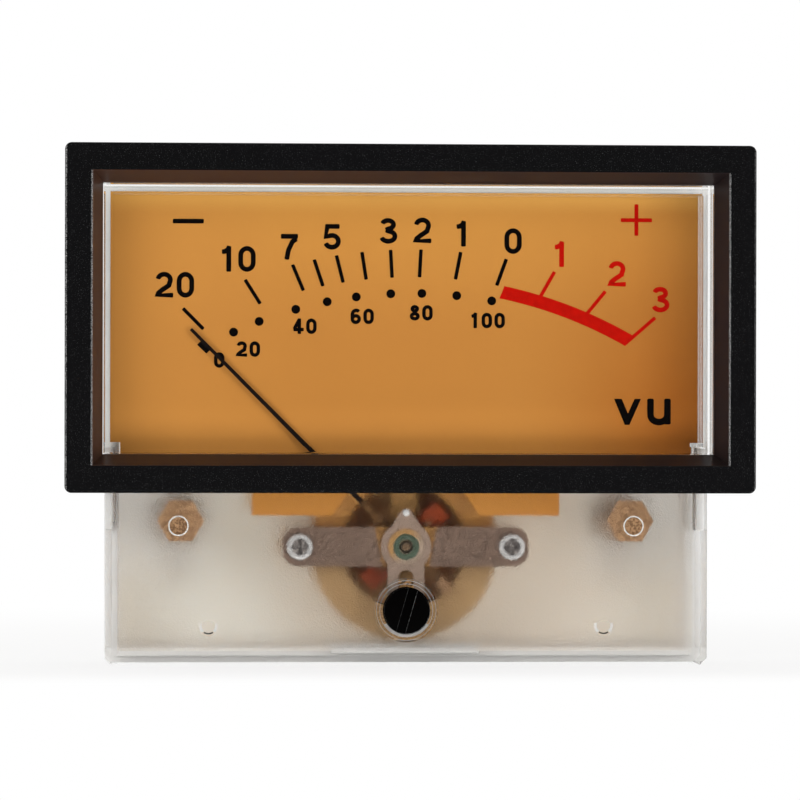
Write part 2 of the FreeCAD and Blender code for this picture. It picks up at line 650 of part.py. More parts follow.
def make_rear_jewel_screw():
    return jewel_screw((FRAME_BACK + FLOOR_Y) / 2, REAR_JEWEL_Y)


def make_jewels():
    return Part.makeCompound([jewel(FRONT_JEWEL_Y, 1), jewel(REAR_JEWEL_Y, -1)])


def make_staffs():
    """Steel pivots on flanges at the front and back of the coil."""
    front_tip = FRONT_JEWEL_Y - JEWEL_CUP_DEEP + PIVOT_PLAY
    rear_tip = REAR_JEWEL_Y + JEWEL_CUP_DEEP - PIVOT_PLAY
    front = fuse(cone(0, 0, 0, STAFF_R, front_tip, front_tip + STAFF_TIP),
                 disc(0, 0, STAFF_R, front_tip + STAFF_TIP, COIL_Y),
                 disc(0, 0, STAFF_FLANGE_R, HUB_BACK, COIL_Y))
    rear = fuse(cone(0, 0, STAFF_R, 0, rear_tip - STAFF_TIP, rear_tip),
                disc(0, 0, STAFF_R, COIL_BACK, rear_tip - STAFF_TIP),
                disc(0, 0, STAFF_FLANGE_R, COIL_BACK, COIL_BACK + HUB_FLANGE_T))
    return Part.makeCompound([front, rear])


def make_collets():
    front = (SPRING_Y + SPRING_BACK) / 2
    rear = REAR_SPRING_Y + SPRING_W / 2
    return Part.makeCompound([tube(0, 0, COLLET_R, STAFF_R, y - COLLET_T / 2, y + COLLET_T / 2)
                              for y in (front, rear)])


def arc_edge(centre_z, r, y, right, downwards):
    """Half a turn about (0, centre_z), on the right or the left side."""
    side = 1 if right else -1
    top, bottom = V(0, y, centre_z + r), V(0, y, centre_z - r)
    middle = V(side * r, y, centre_z)
    ends = (top, middle, bottom) if downwards else (bottom, middle, top)
    return Part.Arc(*ends).toShape()


def spiral_path(y, offset):
    """Half turns whose centres alternate, so that each runs smoothly into the next."""
    shift = SPIRAL_PITCH / 2
    edges = []
    for half_turn in range(2 * SPIRAL_TURNS + 1):
        right = half_turn % 2 == 0
        r = SPIRAL_START_R + half_turn * shift + offset
        edges.append(arc_edge(0 if right else -shift, r, y, right, not right))
    return edges


def hairspring(y):
    half = SPIRAL_STRIP / 2
    inner, outer = spiral_path(y, -half), spiral_path(y, half)
    start = Part.makeLine(inner[0].Vertexes[0].Point, outer[0].Vertexes[0].Point)
    end = Part.makeLine(inner[-1].Vertexes[-1].Point, outer[-1].Vertexes[-1].Point)
    wire = Part.Wire(Part.__sortEdges__(inner + outer + [start, end]))
    return Part.Face(wire).extrude(V(0, SPRING_W, 0))


def spring_post(y0, y1):
    """The post that the outer end of a hairspring is soldered to."""
    low = SPIRAL_END_R - LEVER_POST_T / 2
    return box(-LEVER_POST_W, 0, y0, y1, low, low + LEVER_POST_T)


def make_front_hairspring():
    return hairspring(SPRING_Y)


def make_rear_hairspring():
    return hairspring(REAR_SPRING_Y)


def make_zero_lever():
    y0, y1 = LEVER_Y, LEVER_BACK
    fork_end = ZERO_BELOW_AXIS - ZERO_THROW + ZERO_PIN_R + LEVER_FORK_PAST - ZERO_THROW
    half_fork, half_tab = LEVER_FORK_W / 2, LEVER_TAB_W / 2
    tab_low = math.sqrt(LEVER_RING_R ** 2 - half_tab ** 2)
    tab = slab([(-half_tab, tab_low), (half_tab, tab_low), (LEVER_TIP_W / 2, LEVER_TIP),
                (-LEVER_TIP_W / 2, LEVER_TIP)], y0, y1)
    fork = rounded(-half_fork, half_fork, y0, y1, -fork_end, 0, EDGE_R)
    slot_r = LEVER_SLOT_W / 2
    slot = fuse(disc(0, -LEVER_SLOT_TOP - slot_r, slot_r, y0, y1),
                box(-slot_r, slot_r, y0, y1, -fork_end, -LEVER_SLOT_TOP - slot_r))
    body = fuse(disc(0, 0, LEVER_RING_R, y0, y1), tab, fork, spring_post(y0, SPRING_BACK))
    return cut(body, slot, disc(0, 0, BUSH_COLLAR_R + RUNNING_GAP, y0, y1))


def make_zero_screw():
    z = -ZERO_BELOW_AXIS
    front, back = ZERO_SCREW_SET_IN, SKIRT_T + ZERO_BOSS_LONG - ZERO_SCREW_SET_IN
    body = fuse(disc(0, z, ZERO_SCREW_R, front, back),
                disc(0, z, ZERO_SCREW_R + ZERO_BEAD, ZERO_BEAD_Y, ZERO_BEAD_Y + ZERO_BEAD_T),
                disc(0, z + ZERO_THROW, ZERO_PIN_R, back, LEVER_BACK + ZERO_PIN_PAST))
    slot = box(-ZERO_SLOT_W / 2, ZERO_SLOT_W / 2, front, front + ZERO_SLOT_DEEP,
               z - ZERO_SCREW_R, z + ZERO_SCREW_R)
    slot.rotate(V(0, 0, z), V(0, 1, 0), ZERO_SLOT_TILT)
    return body.cut(slot)


def make_pointer():
    """Drawn pointing up: a hub with a cranked blade, a tail and two side arms."""
    half_t = POINTER_T / 2
    hub_mid = HUB_Y + half_t
    side = [(0, hub_mid), (CRANK_START, hub_mid), (CRANK_END, POINTER_Y), (POINTER_LONG, POINTER_Y)]
    outline = [V(0, y - half_t, r) for r, y in side] + [V(0, y + half_t, r) for r, y in reversed(side)]
    bent = Part.Face(Part.makePolygon(outline + outline[:1]))
    half_w = POINTER_BASE_W / 2
    bent.translate(V(-half_w, 0, 0))
    bent = bent.extrude(V(2 * half_w, 0, 0))
    plan = slab([(-half_w, 0), (half_w, 0), (POINTER_TIP_W / 2, POINTER_LONG),
                 (-POINTER_TIP_W / 2, POINTER_LONG)], POINTER_Y - POINTER_T, HUB_BACK)
    arm = SIDE_ARM_W / 2
    body = fuse(bent.common(plan), disc(0, 0, POINTER_HUB_R, HUB_Y, HUB_BACK),
                centred(POINTER_ARM_W, HUB_Y, HUB_BACK, -TAIL_LONG, 0),
                box(-SIDE_ARM_LONG, SIDE_ARM_LONG, HUB_Y, HUB_BACK, -arm, arm))
    body = cut(body, disc(0, 0, STAFF_R, HUB_Y, HUB_BACK))
    return turned(body, POINTER_REST)


def weight(reach, arm_w, r, length):
    """A slug threaded on an arm, drawn on the tail, its outer end at reach."""
    hub_mid = HUB_Y + POINTER_T / 2
    slug = Part.makeCylinder(r, length, V(0, hub_mid, -reach), V(0, 0, 1))
    return slug.cut(centred(arm_w, HUB_Y, HUB_BACK, -reach, 0))


def make_weights():
    tail = weight(TAIL_LONG, POINTER_ARM_W, TAIL_WEIGHT_R, TAIL_WEIGHT_LONG)
    arm = weight(SIDE_ARM_LONG, SIDE_ARM_W, SIDE_WEIGHT_R, SIDE_WEIGHT_LONG)
    slugs = [turned(tail, POINTER_REST)]
    for side in (90, -90):
        slugs.append(turned(arm, POINTER_REST + side))
    return Part.makeCompound(slugs)


def coil_loop(inner_half, y0, y1, thick):
    """A rectangular loop round the core, across the pointer."""
    outer = inner_half + thick
    body = box(-outer, outer, y0, y1, -COIL_W / 2, COIL_W / 2)
    return body.cut(box(-inner_half, inner_half, y0 + thick, y1 - thick, -COIL_W / 2, COIL_W / 2))


def make_former():
    return turned(coil_loop(COIL_HALF, FORMER_Y, FORMER_BACK, FORMER_T), POINTER_REST)


def make_winding():
    return turned(coil_loop(COIL_HALF + FORMER_T, COIL_Y, COIL_BACK, WINDING_T), POINTER_REST)


PAD_Y = CASE_DEPTH + PAD_T
LUG_Y = PAD_Y + WASHER_T
NUT_Y = LUG_Y + LUG_T
NUT_BACK = NUT_Y + NUT_T


def make_terminal_pillars():
    """Inside the nut the stud is drawn at the core of its thread."""
    end = disc(TERMINAL_X, TERMINAL_Z, STUD_R, NUT_BACK, STUD_END)
    end = end.makeChamfer(STUD_R - STUD_CORE_R, in_plane(end, STUD_END))
    body = fuse(hexagon(TERMINAL_X, TERMINAL_Z, TERMINAL_HEX, TERMINAL_Y, FLOOR_Y),
                disc(TERMINAL_X, TERMINAL_Z, SHOULDER_R, FLOOR_Y, PAD_Y),
                disc(TERMINAL_X, TERMINAL_Z, STUD_CORE_R, PAD_Y, NUT_BACK), end)
    return Part.makeCompound(pair(body))


def make_washers():
    return Part.makeCompound(pair(tube(TERMINAL_X, TERMINAL_Z, WASHER_R, STUD_R, PAD_Y, LUG_Y)))


def make_lugs():
    half = LUG_W / 2
    tail_end = TERMINAL_Z - LUG_LONG
    body = fuse(disc(TERMINAL_X, TERMINAL_Z, LUG_R, LUG_Y, NUT_Y),
                box(TERMINAL_X - half, TERMINAL_X + half, LUG_Y, NUT_Y, tail_end + half, TERMINAL_Z),
                disc(TERMINAL_X, tail_end + half, half, LUG_Y, NUT_Y))
    body = cut(body, disc(TERMINAL_X, TERMINAL_Z, STUD_R, LUG_Y, NUT_Y),
               disc(TERMINAL_X, tail_end + half, LUG_EYE_R, LUG_Y, NUT_Y))
    return Part.makeCompound(pair(body))


def make_nuts():
    body = hexagon(TERMINAL_X, TERMINAL_Z, NUT_HEX, NUT_Y, NUT_BACK)
    return Part.makeCompound(pair(body.cut(disc(TERMINAL_X, TERMINAL_Z, STUD_CORE_R, NUT_Y, NUT_BACK))))


def bent_lead(x_in, y):
    """A wire up from the pillar's upper flat and across to x_in."""
    x, z = TERMINAL_X, TERMINAL_Z + TERMINAL_HEX / 2
    high = z + LEAD_RISE
    r = LEAD_BEND_R
    quarter = r * math.sqrt(0.5)
    edges = [Part.makeLine(V(x, y, z), V(x, y, high - r)),
             Part.Arc(V(x, y, high - r), V(x - r + quarter, y, high - r + quarter), V(x - r, y, high)).toShape(),
             Part.makeLine(V(x - r, y, high), V(x_in, y, high))]
    section = Part.Wire(Part.makeCircle(LEAD_R, V(x, y, z), V(0, 0, 1)))
    return Part.Wire(edges).makePipeShell([section], True, False)


def make_leads():
    """One lead goes to the frame's edge and the other to the rear spring's tag."""
    left = bent_lead(FRAME_TAB_W / 2, FRAME_Y + FRAME_T / 2).mirror(V(0, 0, 0), V(1, 0, 0))
    right = bent_lead(FRAME_TAB_W / 2 + INSULATOR_T + TAG_T, FRAME_Y + FRAME_T / 2)
    return Part.makeCompound([left, right])


def tag_strip(y0, y1, edge):
    """An L-shaped strip along the frame's tab, folded back over its right edge."""
    high = FRAME_TAB_LOW + TAG_W
    low = SPIRAL_END_R - LEVER_POST_T / 2
    lip_high = TERMINAL_Z + TERMINAL_HEX / 2 + LEAD_RISE + TAG_W / 2
    return fuse(box(-TAG_W / 2, TAG_W / 2, y0, y1, low, high),
                box(0, edge, y0, y1, FRAME_TAB_LOW, high),
                box(edge - (y1 - y0), edge, y0, FRAME_BACK, FRAME_TAB_LOW, lip_high))


def make_insulator():
    return tag_strip(FRAME_Y - INSULATOR_T, FRAME_Y, FRAME_TAB_W / 2 + INSULATOR_T)


def make_tag():
    strip = tag_strip(TAG_Y, TAG_Y + TAG_T, FRAME_TAB_W / 2 + INSULATOR_T + TAG_T)
    return fuse(strip, spring_post(REAR_SPRING_Y, TAG_Y + TAG_T))


BOARD_BACK = FLOOR_Y - FRAME_STANDOFF
BOARD_Y = BOARD_BACK - BOARD_T


def make_board():
    body = centred(BOARD_W, BOARD_Y, BOARD_BACK, BOARD_Z - BOARD_H / 2, BOARD_Z + BOARD_H / 2)
    holes = pair(disc(BOARD_SCREW_X, BOARD_Z, SCREW_HOLE_R, BOARD_Y, BOARD_BACK))
    holes += pair(disc(PIN_PITCH / 2, BOARD_Z, PIN_R, BOARD_Y, BOARD_BACK))
    return cut(body, *holes)


def make_board_screws():
    return Part.makeCompound(pair(pan_screw(BOARD_SCREW_X, BOARD_Z, BOARD_Y, FLOOR_Y)))


def make_leds():
    first = -(LED_COUNT - 1) / 2
    leds = []
    for i in range(LED_COUNT):
        x = (first + i) * LED_PITCH
        leds.append(box(x - LED_W / 2, x + LED_W / 2, BOARD_Y - LED_T, BOARD_Y,
                        BOARD_Z - LED_H / 2, BOARD_Z + LED_H / 2))
    return Part.makeCompound(leds)


def make_backlight_pins():
    return Part.makeCompound(pair(disc(PIN_PITCH / 2, BOARD_Z, PIN_R, BOARD_Y - PIN_R, CASE_DEPTH + PIN_OUT)))


NODES = {
    "bezel": make_bezel,
    "front_cover": make_front_cover,
    "rear_case": make_rear_case,
    "dial_plate": make_dial_plate,
    "dial_screws": make_dial_screws,
    "dial_posts": make_dial_posts,
    "pointer_stops": make_pointer_stops,
    "front_bridge": make_bridge,
    "bridge_screws": make_bridge_screws,
    "front_spacers": lambda: spacers(BRIDGE_BACK, YOKE_Y),
    "rear_spacers": lambda: spacers(YOKE_BACK, FRAME_Y),
    "front_bushing": make_front_bushing,
    "front_jewel_screw": make_front_jewel_screw,
    "rear_jewel_screw": make_rear_jewel_screw,
    "pivot_jewels": make_jewels,
    "yoke_ring": make_yoke,
    "core_magnet": make_core,
    "core_holder": make_core_holder,
    "movement_frame": make_frame,
    "rear_hairspring": make_rear_hairspring,
    "rear_spring_tag": make_tag,
    "tag_insulator": make_insulator,
    "zero_screw": make_zero_screw,
    "zero_lever": make_zero_lever,
    "front_hairspring": make_front_hairspring,
    "pointer": make_pointer,
    "balance_weights": make_weights,
    "coil_former": make_former,
    "coil_winding": make_winding,
    "pivot_staffs": make_staffs,
    "spring_collets": make_collets,
    "terminal_pillars": make_terminal_pillars,
    "terminal_washers": make_washers,
    "solder_lugs": make_lugs,
    "terminal_nuts": make_nuts,
    "terminal_leads": make_leads,
    "backlight_board": make_board,
    "board_screws": make_board_screws,
    "backlight_leds": make_leds,
    "backlight_pins": make_backlight_pins,
}

os.makedirs("parts", exist_ok=True)
for node, make in NODES.items():
    shape = make()
    shape.exportStep(os.path.join("parts", node + ".step"))
    print(node, "solids", len(shape.Solids), "volume", round(shape.Volume, 3), "valid", shape.isValid())
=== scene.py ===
"""The looks of the VU panel meter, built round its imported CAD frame. Lengths are in millimetres."""

import json
import math

import bmesh
import bpy
from mathutils import Matrix, Vector


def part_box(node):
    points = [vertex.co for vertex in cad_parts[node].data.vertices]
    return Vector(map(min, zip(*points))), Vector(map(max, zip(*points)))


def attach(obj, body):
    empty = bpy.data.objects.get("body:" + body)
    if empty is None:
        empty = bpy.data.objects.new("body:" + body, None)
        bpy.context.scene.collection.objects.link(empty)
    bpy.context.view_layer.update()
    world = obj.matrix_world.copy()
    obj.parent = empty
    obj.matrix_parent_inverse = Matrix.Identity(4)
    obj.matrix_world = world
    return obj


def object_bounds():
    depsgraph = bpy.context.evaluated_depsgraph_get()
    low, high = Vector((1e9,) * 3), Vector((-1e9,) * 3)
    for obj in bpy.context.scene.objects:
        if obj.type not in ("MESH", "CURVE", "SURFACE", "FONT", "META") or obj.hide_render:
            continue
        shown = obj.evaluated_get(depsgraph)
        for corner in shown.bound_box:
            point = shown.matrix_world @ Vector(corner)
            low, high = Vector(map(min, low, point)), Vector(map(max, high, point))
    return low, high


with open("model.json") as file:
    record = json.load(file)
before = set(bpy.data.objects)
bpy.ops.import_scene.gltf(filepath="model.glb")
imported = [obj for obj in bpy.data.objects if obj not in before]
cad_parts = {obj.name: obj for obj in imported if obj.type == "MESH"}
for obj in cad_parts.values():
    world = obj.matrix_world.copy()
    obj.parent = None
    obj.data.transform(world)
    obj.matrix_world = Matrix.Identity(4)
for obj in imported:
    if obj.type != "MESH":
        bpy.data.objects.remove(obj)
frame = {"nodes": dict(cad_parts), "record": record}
cad_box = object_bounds()
scene = bpy.context.scene
scene.view_settings.view_transform = "Standard"
MM = 0.001

# ---- Places on the object, from the CAD frame where its boxes show them ----
LOW, HIGH = 0, 1


def edge(node, side, axis):
    """Where a node's box begins or ends along an axis."""
    return round(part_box(node)[side]["XYZ".index(axis)] / MM, 3)


DIAL_FRONT = edge("dial_plate", LOW, "Y")
BEZEL_SIDE = edge("bezel", HIGH, "X")
BEZEL_FRONT = edge("bezel", LOW, "Y")
BEZEL_MID = (edge("bezel", LOW, "Z") + edge("bezel", HIGH, "Z")) / 2
OPENING_X, OPENING_Z = 46.1, 21.2        # half the bezel's opening, at its front
WINDOW_LOW = 13.7                        # foot of the window box
SKIRT_IN = 1.8                           # inner face of the skirt
SNAP_IN, SNAP_OUT = 42.3, 43.2           # across the inner faces of the snap arms' recesses
SNAP_FRONT, SNAP_TOP = 5.0, 14.7
CASE_WALL = 2.0
CASE_SIDE = edge("rear_case", HIGH, "X") - CASE_WALL      # inner faces of the rear case
CASE_FLOOR = edge("rear_case", LOW, "Z") + CASE_WALL
CASE_BACK = 22.0
SEAM = edge("front_cover", HIGH, "Y")    # where the cover's walls end
LATCH_HALF = 10.9                        # half the width of the latch under the case
BRIDGE_HEAD_X = edge("bridge_screws", HIGH, "X") - edge("bridge_screws", HIGH, "Z")
HOLDER_FRONT, FRAME_FRONT = 6.0, 12.0    # depths at which bridge, holder and frame are told apart
STUD_X, STUD_Z = 33.05, 3.8
ZERO_Z = -9.3                            # axis of the zero adjuster
BOSS_R = 4.65
SLOT_TILT, SLOT_HALF = 16.0, 0.65        # the adjuster's slot


# ---- Meshes ----
EASE = 0.16              # how far the corners of a stroke's ends are cut, as a share of its width
SIDES = (-1, 1)


def piece(name, build, body, material, smooth=30):
    """A mesh object made by build(bm), in millimetres, that rides on a body."""
    bm = bmesh.new()
    build(bm)
    bmesh.ops.scale(bm, vec=(MM, MM, MM), verts=bm.verts)
    bmesh.ops.recalc_face_normals(bm, faces=bm.faces)
    mesh = bpy.data.meshes.new(name)
    bm.to_mesh(mesh)
    bm.free()
    obj = bpy.data.objects.new(name, mesh)
    scene.collection.objects.link(obj)
    mesh.materials.append(material)
    for polygon in mesh.polygons:
        polygon.use_smooth = smooth > 0
    if smooth:
        mesh.set_sharp_from_angle(angle=math.radians(smooth))
    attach(obj, body)


def prism(bm, outline, y0, y1):
    """A closed plate with an (x, z) outline."""
    front = [bm.verts.new((x, y0, z)) for x, z in outline]
    back = [bm.verts.new((x, y1, z)) for x, z in outline]
    bm.faces.new(front)
    bm.faces.new(list(reversed(back)))
    count = len(outline)
    for i in range(count):
        j = (i + 1) % count
        bm.faces.new((front[j], front[i], back[i], back[j]))


def lathe(bm, profile, x, z, steps=48):
    """A closed ring of revolution about a line along Y through (x, z); profile holds (radius, y)."""
    rings = []
    for i in range(steps):
        a = 2 * math.pi * i / steps
        rings.append([bm.verts.new((x + r * math.cos(a), y, z + r * math.sin(a))) for r, y in profile])
    count = len(profile)
    for i in range(steps):
        near, far = rings[i], rings[(i + 1) % steps]
        for k in range(count):
            m = (k + 1) % count
            bm.faces.new((near[k], near[m], far[m], far[k]))


def ribbon(bm, path, width, y0, y1, closed=False):
    """A flat stroke of constant width along an (x, z) path, as one closed solid with eased corners."""
    points = [Vector(p) for p in path]
    if not closed:
        ease = EASE * width
        start = points[0] + (points[1] - points[0]).normalized() * ease
        end = points[-1] + (points[-2] - points[-1]).normalized() * ease
        points = [points[0], start, *points[1:-1], end, points[-1]]
    count = len(points)
    left, right = [], []
    for i, p in enumerate(points):
        before = points[i - 1] if (i or closed) else None
        after = points[(i + 1) % count] if (i < count - 1 or closed) else None
        d0 = (p - before).normalized() if before is not None else None
        d1 = (after - p).normalized() if after is not None else None
        d = ((d0 or d1) + (d1 or d0)).normalized()
        normal = Vector((-d.y, d.x))
        stretch = 1 / max(0.8, normal.dot(Vector((-(d1 or d0).y, (d1 or d0).x))))
        half = width / 2 * stretch
        if not closed and i in (0, count - 1):
            half -= EASE * width
        left.append(p + normal * half)
        right.append(p - normal * half)
    rows = []
    for y in (y0, y1):
        rows.append([[bm.verts.new((q.x, y, q.y)) for q in side] for side in (left, right)])
    (fl, fr), (bl, br) = rows
    last = count if closed else count - 1
    for i in range(last):
        j = (i + 1) % count
        bm.faces.new((fl[i], fl[j], fr[j], fr[i]))
        bm.faces.new((bl[i], br[i], br[j], bl[j]))
        bm.faces.new((fl[i], bl[i], bl[j], fl[j]))
        bm.faces.new((fr[i], fr[j], br[j], br[i]))
    if not closed:
        bm.faces.new((fl[0], fr[0], br[0], bl[0]))
        bm.faces.new((fl[-1], bl[-1], br[-1], fr[-1]))


# ---- Materials ----
class Paint:
    """A node material round one Principled shader."""

    def __init__(self, name, colour, rough, metal=0.0, **sockets):
        self.material = bpy.data.materials.new(name)
        self.material.use_nodes = True
        self.tree = self.material.node_tree
        self.shader = self.tree.nodes["Principled BSDF"]
        self.out = self.tree.nodes["Material Output"]
        self.set("Base Color", (*colour, 1))
        self.set("Roughness", rough)
        self.set("Metallic", metal)
        for key, value in sockets.items():
            self.set(key.replace("_", " "), value)
        self._place = None

    def set(self, socket, value):
        self.shader.inputs[socket].default_value = value

    def node(self, kind, **values):
        node = self.tree.nodes.new(kind)
        for key, value in values.items():
            setattr(node, key, value)
        return node

    def link(self, a, b):
        self.tree.links.new(a, b)

    def place(self):
        """Object coordinates in millimetres."""
        if self._place is None:
            coords = self.node("ShaderNodeTexCoord")
            scale = self.node("ShaderNodeVectorMath", operation="SCALE")
            scale.inputs["Scale"].default_value = 1 / MM
            self.link(coords.outputs["Object"], scale.inputs[0])
            self._place = scale.outputs[0]
        return self._place

    def axis(self, name):
        split = self.node("ShaderNodeSeparateXYZ")
        self.link(self.place(), split.inputs[0])
        return split.outputs[name]

    def aside(self):
        """The distance from the plane that parts left from right."""
        return self.math("ABSOLUTE", self.axis("X"))

    def away_squared(self, x0=0.0, z0=0.0, mirrored=False):
        """The square of the distance from a line along Y, or from the nearer of a left and right pair."""
        across = self.aside() if mirrored else self.axis("X")
        dx = self.math("SUBTRACT", across, x0)
        dz = self.math("SUBTRACT", self.axis("Z"), z0)
        return self.math("ADD", self.math("MULTIPLY", dx, dx), self.math("MULTIPLY", dz, dz))

    def away(self, x0=0.0, z0=0.0, mirrored=False):
        """The distance itself."""
        return self.math("SQRT", self.away_squared(x0, z0, mirrored))

    def math(self, operation, a, b=0.0):
        node = self.node("ShaderNodeMath", operation=operation)
        for socket, value in zip(node.inputs, (a, b)):
            if isinstance(value, (int, float)):
                socket.default_value = value
            else:
                self.link(value, socket)
        return node.outputs[0]

    def above(self, value, limit):
        return self.math("GREATER_THAN", value, limit)

    def below(self, value, limit):
        return self.math("LESS_THAN", value, limit)

    def product(self, first, *others):
        """Masks and shares multiplied; with masks alone, the region that they all share."""
        for other in others:
            first = self.math("MULTIPLY", first, other)
        return first

    def noise(self, size, detail=2.0):
        """Noise whose grains are about size millimetres across."""
        noise = self.node("ShaderNodeTexNoise")
        noise.inputs["Scale"].default_value = 1 / size
        noise.inputs["Detail"].default_value = detail
        self.link(self.place(), noise.inputs["Vector"])
        return noise.outputs["Fac"]

    def ramp(self, value, low, high, to_low, to_high, smooth=False):
        node = self.node("ShaderNodeMapRange")
        if smooth:
            node.interpolation_type = "SMOOTHSTEP"
        for key, number in zip(("From Min", "From Max", "To Min", "To Max"), (low, high, to_low, to_high)):
            node.inputs[key].default_value = number
        self.link(value, node.inputs["Value"])
        return node.outputs["Result"]

    def mix(self, factor, a, b):
        node = self.node("ShaderNodeMix", data_type="RGBA")
        self.link(factor, node.inputs["Factor"])
        for socket, colour in ((node.inputs[6], a), (node.inputs[7], b)):
            if isinstance(colour, tuple):
                socket.default_value = (*colour, 1)
            else:
                self.link(colour, socket)
        return node.outputs[2]

    def colour(self, value):
        self.link(value, self.shader.inputs["Base Color"])
        return self

    def coloured(self):
        """The colour that the shader has so far."""
        return self.shader.inputs["Base Color"].links[0].from_socket

    def rough(self, value):
        self.link(value, self.shader.inputs["Roughness"])
        return self

    def bump(self, height, depth):
        """Relief of the given depth, in millimetres."""
        node = self.node("ShaderNodeBump")
        node.inputs["Distance"].default_value = depth * MM
        node.inputs["Strength"].default_value = 1.0
        self.link(height, node.inputs["Height"])
        self.link(node.outputs[0], self.shader.inputs["Normal"])
        return self

    def mottled(self, size, light, dark, detail=2.0, low=0.35, high=0.65):
        """A colour that drifts between two values in patches of the given size."""
        return self.mix(self.ramp(self.noise(size, detail), low, high, 0, 1), light, dark)

    def swap(self, share, other):
        """Puts another shader in this one's place, by share."""
        mix = self.node("ShaderNodeMixShader")
        self.link(share, mix.inputs[0])
        self.link(self.shader.outputs[0], mix.inputs[1])
        self.link(other.outputs[0], mix.inputs[2])
        self.link(mix.outputs[0], self.out.inputs["Surface"])
        return self


SPECKLE = 0.24           # size of the grains on the rough metal parts


def metal_paint(name, colour, rough, grain=0.12, depth=0.004, metal=1.0, dark=None):
    """Metal with a fine grain in its relief, colour and gloss; a dark colour makes it coarsely speckled."""
    paint = Paint(name, colour, rough, metal)
    if dark:
        paint.colour(paint.mottled(SPECKLE, colour, dark, 2.0, 0.42, 0.58))
    else:
        paint.colour(paint.mottled(grain * 2.5, colour, tuple(0.72 * c for c in colour), 3.0))
    fine = paint.noise(grain, 2)
    paint.rough(paint.ramp(fine, 0.3, 0.7, rough * 0.8, min(1.0, rough * 1.25)))
    return paint.bump(fine, depth)


def plastic_paint(name, colour, rough, grain=0.3, depth=0.01, **sockets):
    """Moulded plastic with a faint grain."""
    paint = Paint(name, colour, rough, **sockets)
    paint.colour(paint.mottled(grain * 8, colour, tuple(0.85 * c for c in colour), 3.0))
    fine = paint.noise(grain, 2)
    paint.rough(paint.ramp(fine, 0.3, 0.7, rough * 0.85, min(1.0, rough * 1.15)))
    return paint.bump(fine, depth)


FROST_ROUGH, SNAP_ROUGH = 0.30, 0.7
FROST_GRAIN = 0.19
FROST_DEPTH = 0.06       # where metal parts lie behind it
FROST_PLAIN = 0.5        # the share of that depth elsewhere
ROUND_MOVEMENT = (19.0, 24.0)            # the radii between which the deep frost fades
ROUND_STUD = (4.5, 5.5)


def cover_paint():
    """Clear plastic. The skirt is frosted inside, apart from the boss; the snap arms' recesses are matt."""
    paint = Paint("clear_cover", (0.985, 0.985, 0.975), 0.0, Transmission_Weight=1.0, IOR=1.49)
    y, z, aside = paint.axis("Y"), paint.axis("Z"), paint.aside()

    def deep(square, radii):
        """1 within the smaller radius, and the plain share outside the larger one."""
        return paint.ramp(square, radii[0] ** 2, radii[1] ** 2, 1.0, FROST_PLAIN)

    frost = paint.product(paint.above(y, SKIRT_IN - 0.06), paint.below(y, SKIRT_IN + 0.06),
                          paint.below(z, WINDOW_LOW - 0.8), paint.above(paint.away(0.0, ZERO_Z), BOSS_R))
    snap = paint.product(paint.above(aside, SNAP_IN), paint.below(aside, SNAP_OUT),
                         paint.above(y, SNAP_FRONT), paint.below(z, SNAP_TOP))
    paint.rough(paint.math("MAXIMUM", paint.product(frost, FROST_ROUGH), paint.product(snap, SNAP_ROUGH)))
    studs = deep(paint.away_squared(STUD_X, STUD_Z, mirrored=True), ROUND_STUD)
    depth = paint.math("MAXIMUM", deep(paint.away_squared(), ROUND_MOVEMENT), studs)
    grain = paint.product(paint.noise(FROST_GRAIN, 0.5), depth)
    paint.bump(paint.product(grain, frost), FROST_DEPTH)
    path = paint.node("ShaderNodeLightPath")
    through = paint.node("ShaderNodeBsdfTransparent")
    through.inputs["Color"].default_value = (0.97, 0.97, 0.965, 1)
    unbent = paint.math("MAXIMUM", path.outputs["Is Shadow Ray"], path.outputs["Is Diffuse Ray"])
    return paint.swap(unbent, through)


def bezel_paint():
    """Black plastic with a fine grain of sparks that are painted glints, and painted highlights along the
    edges, strongest at the left; the slopes inside are browner, with painted light at the left and painted
    shade at the right and at the foot.
    """
    paint = Paint("bezel_black", (0.006, 0.006, 0.0065), 0.5, Specular_IOR_Level=0.03)
    x, y, z, aside = paint.axis("X"), paint.axis("Y"), paint.axis("Z"), paint.aside()
    up = paint.math("ABSOLUTE", paint.math("SUBTRACT", z, BEZEL_MID))
    fine = paint.noise(0.16, 2)
    glint_grain = paint.noise(0.13, 1)
    inside = paint.product(paint.below(aside, OPENING_X - 0.05), paint.below(up, OPENING_Z + 0.05))
    off_edge = paint.math("ABSOLUTE", paint.math("SUBTRACT", aside, OPENING_X))
    lip_glint = paint.product(paint.below(off_edge, 0.14), paint.below(up, OPENING_Z))
    glint_leftward = paint.ramp(x, -BEZEL_SIDE, BEZEL_SIDE, 1.0, 0.45)
    rim_glint = paint.product(paint.above(aside, BEZEL_SIDE - 0.3), glint_leftward, paint.below(y, BEZEL_FRONT + 0.8))
    # Painted highlights on the inner lip and the outer rim, stronger at the left.
    edges = paint.product(paint.math("MAXIMUM", lip_glint, rim_glint), paint.ramp(glint_grain, 0.44, 0.62, 0, 1))
    # Sparks over the body: painted glints.
    body = paint.mix(paint.ramp(glint_grain, 0.66, 0.74, 0, 1), (0.0032, 0.0032, 0.0035), (0.07, 0.07, 0.07))
    # Painted light and shade on the inner slopes: lighter at the left, darker at the right and at the foot.
    shade_rightward = paint.ramp(x, -46, 46, 0, 1, smooth=True)
    slope_light_and_shade = paint.mix(shade_rightward, (0.056, 0.028, 0.019), (0.021, 0.0145, 0.0145))
    slope_light_and_shade = paint.mix(paint.ramp(z, 12.0, 16.0, 0.55, 0), slope_light_and_shade, (0.009, 0.006, 0.0045))
    paint.colour(paint.mix(edges, paint.mix(inside, body, slope_light_and_shade), (0.26, 0.26, 0.26)))
    paint.rough(paint.ramp(inside, 0, 1, 0.5, 0.34))
    return paint.bump(paint.product(fine, paint.math("SUBTRACT", 1.0, inside)), 0.012)


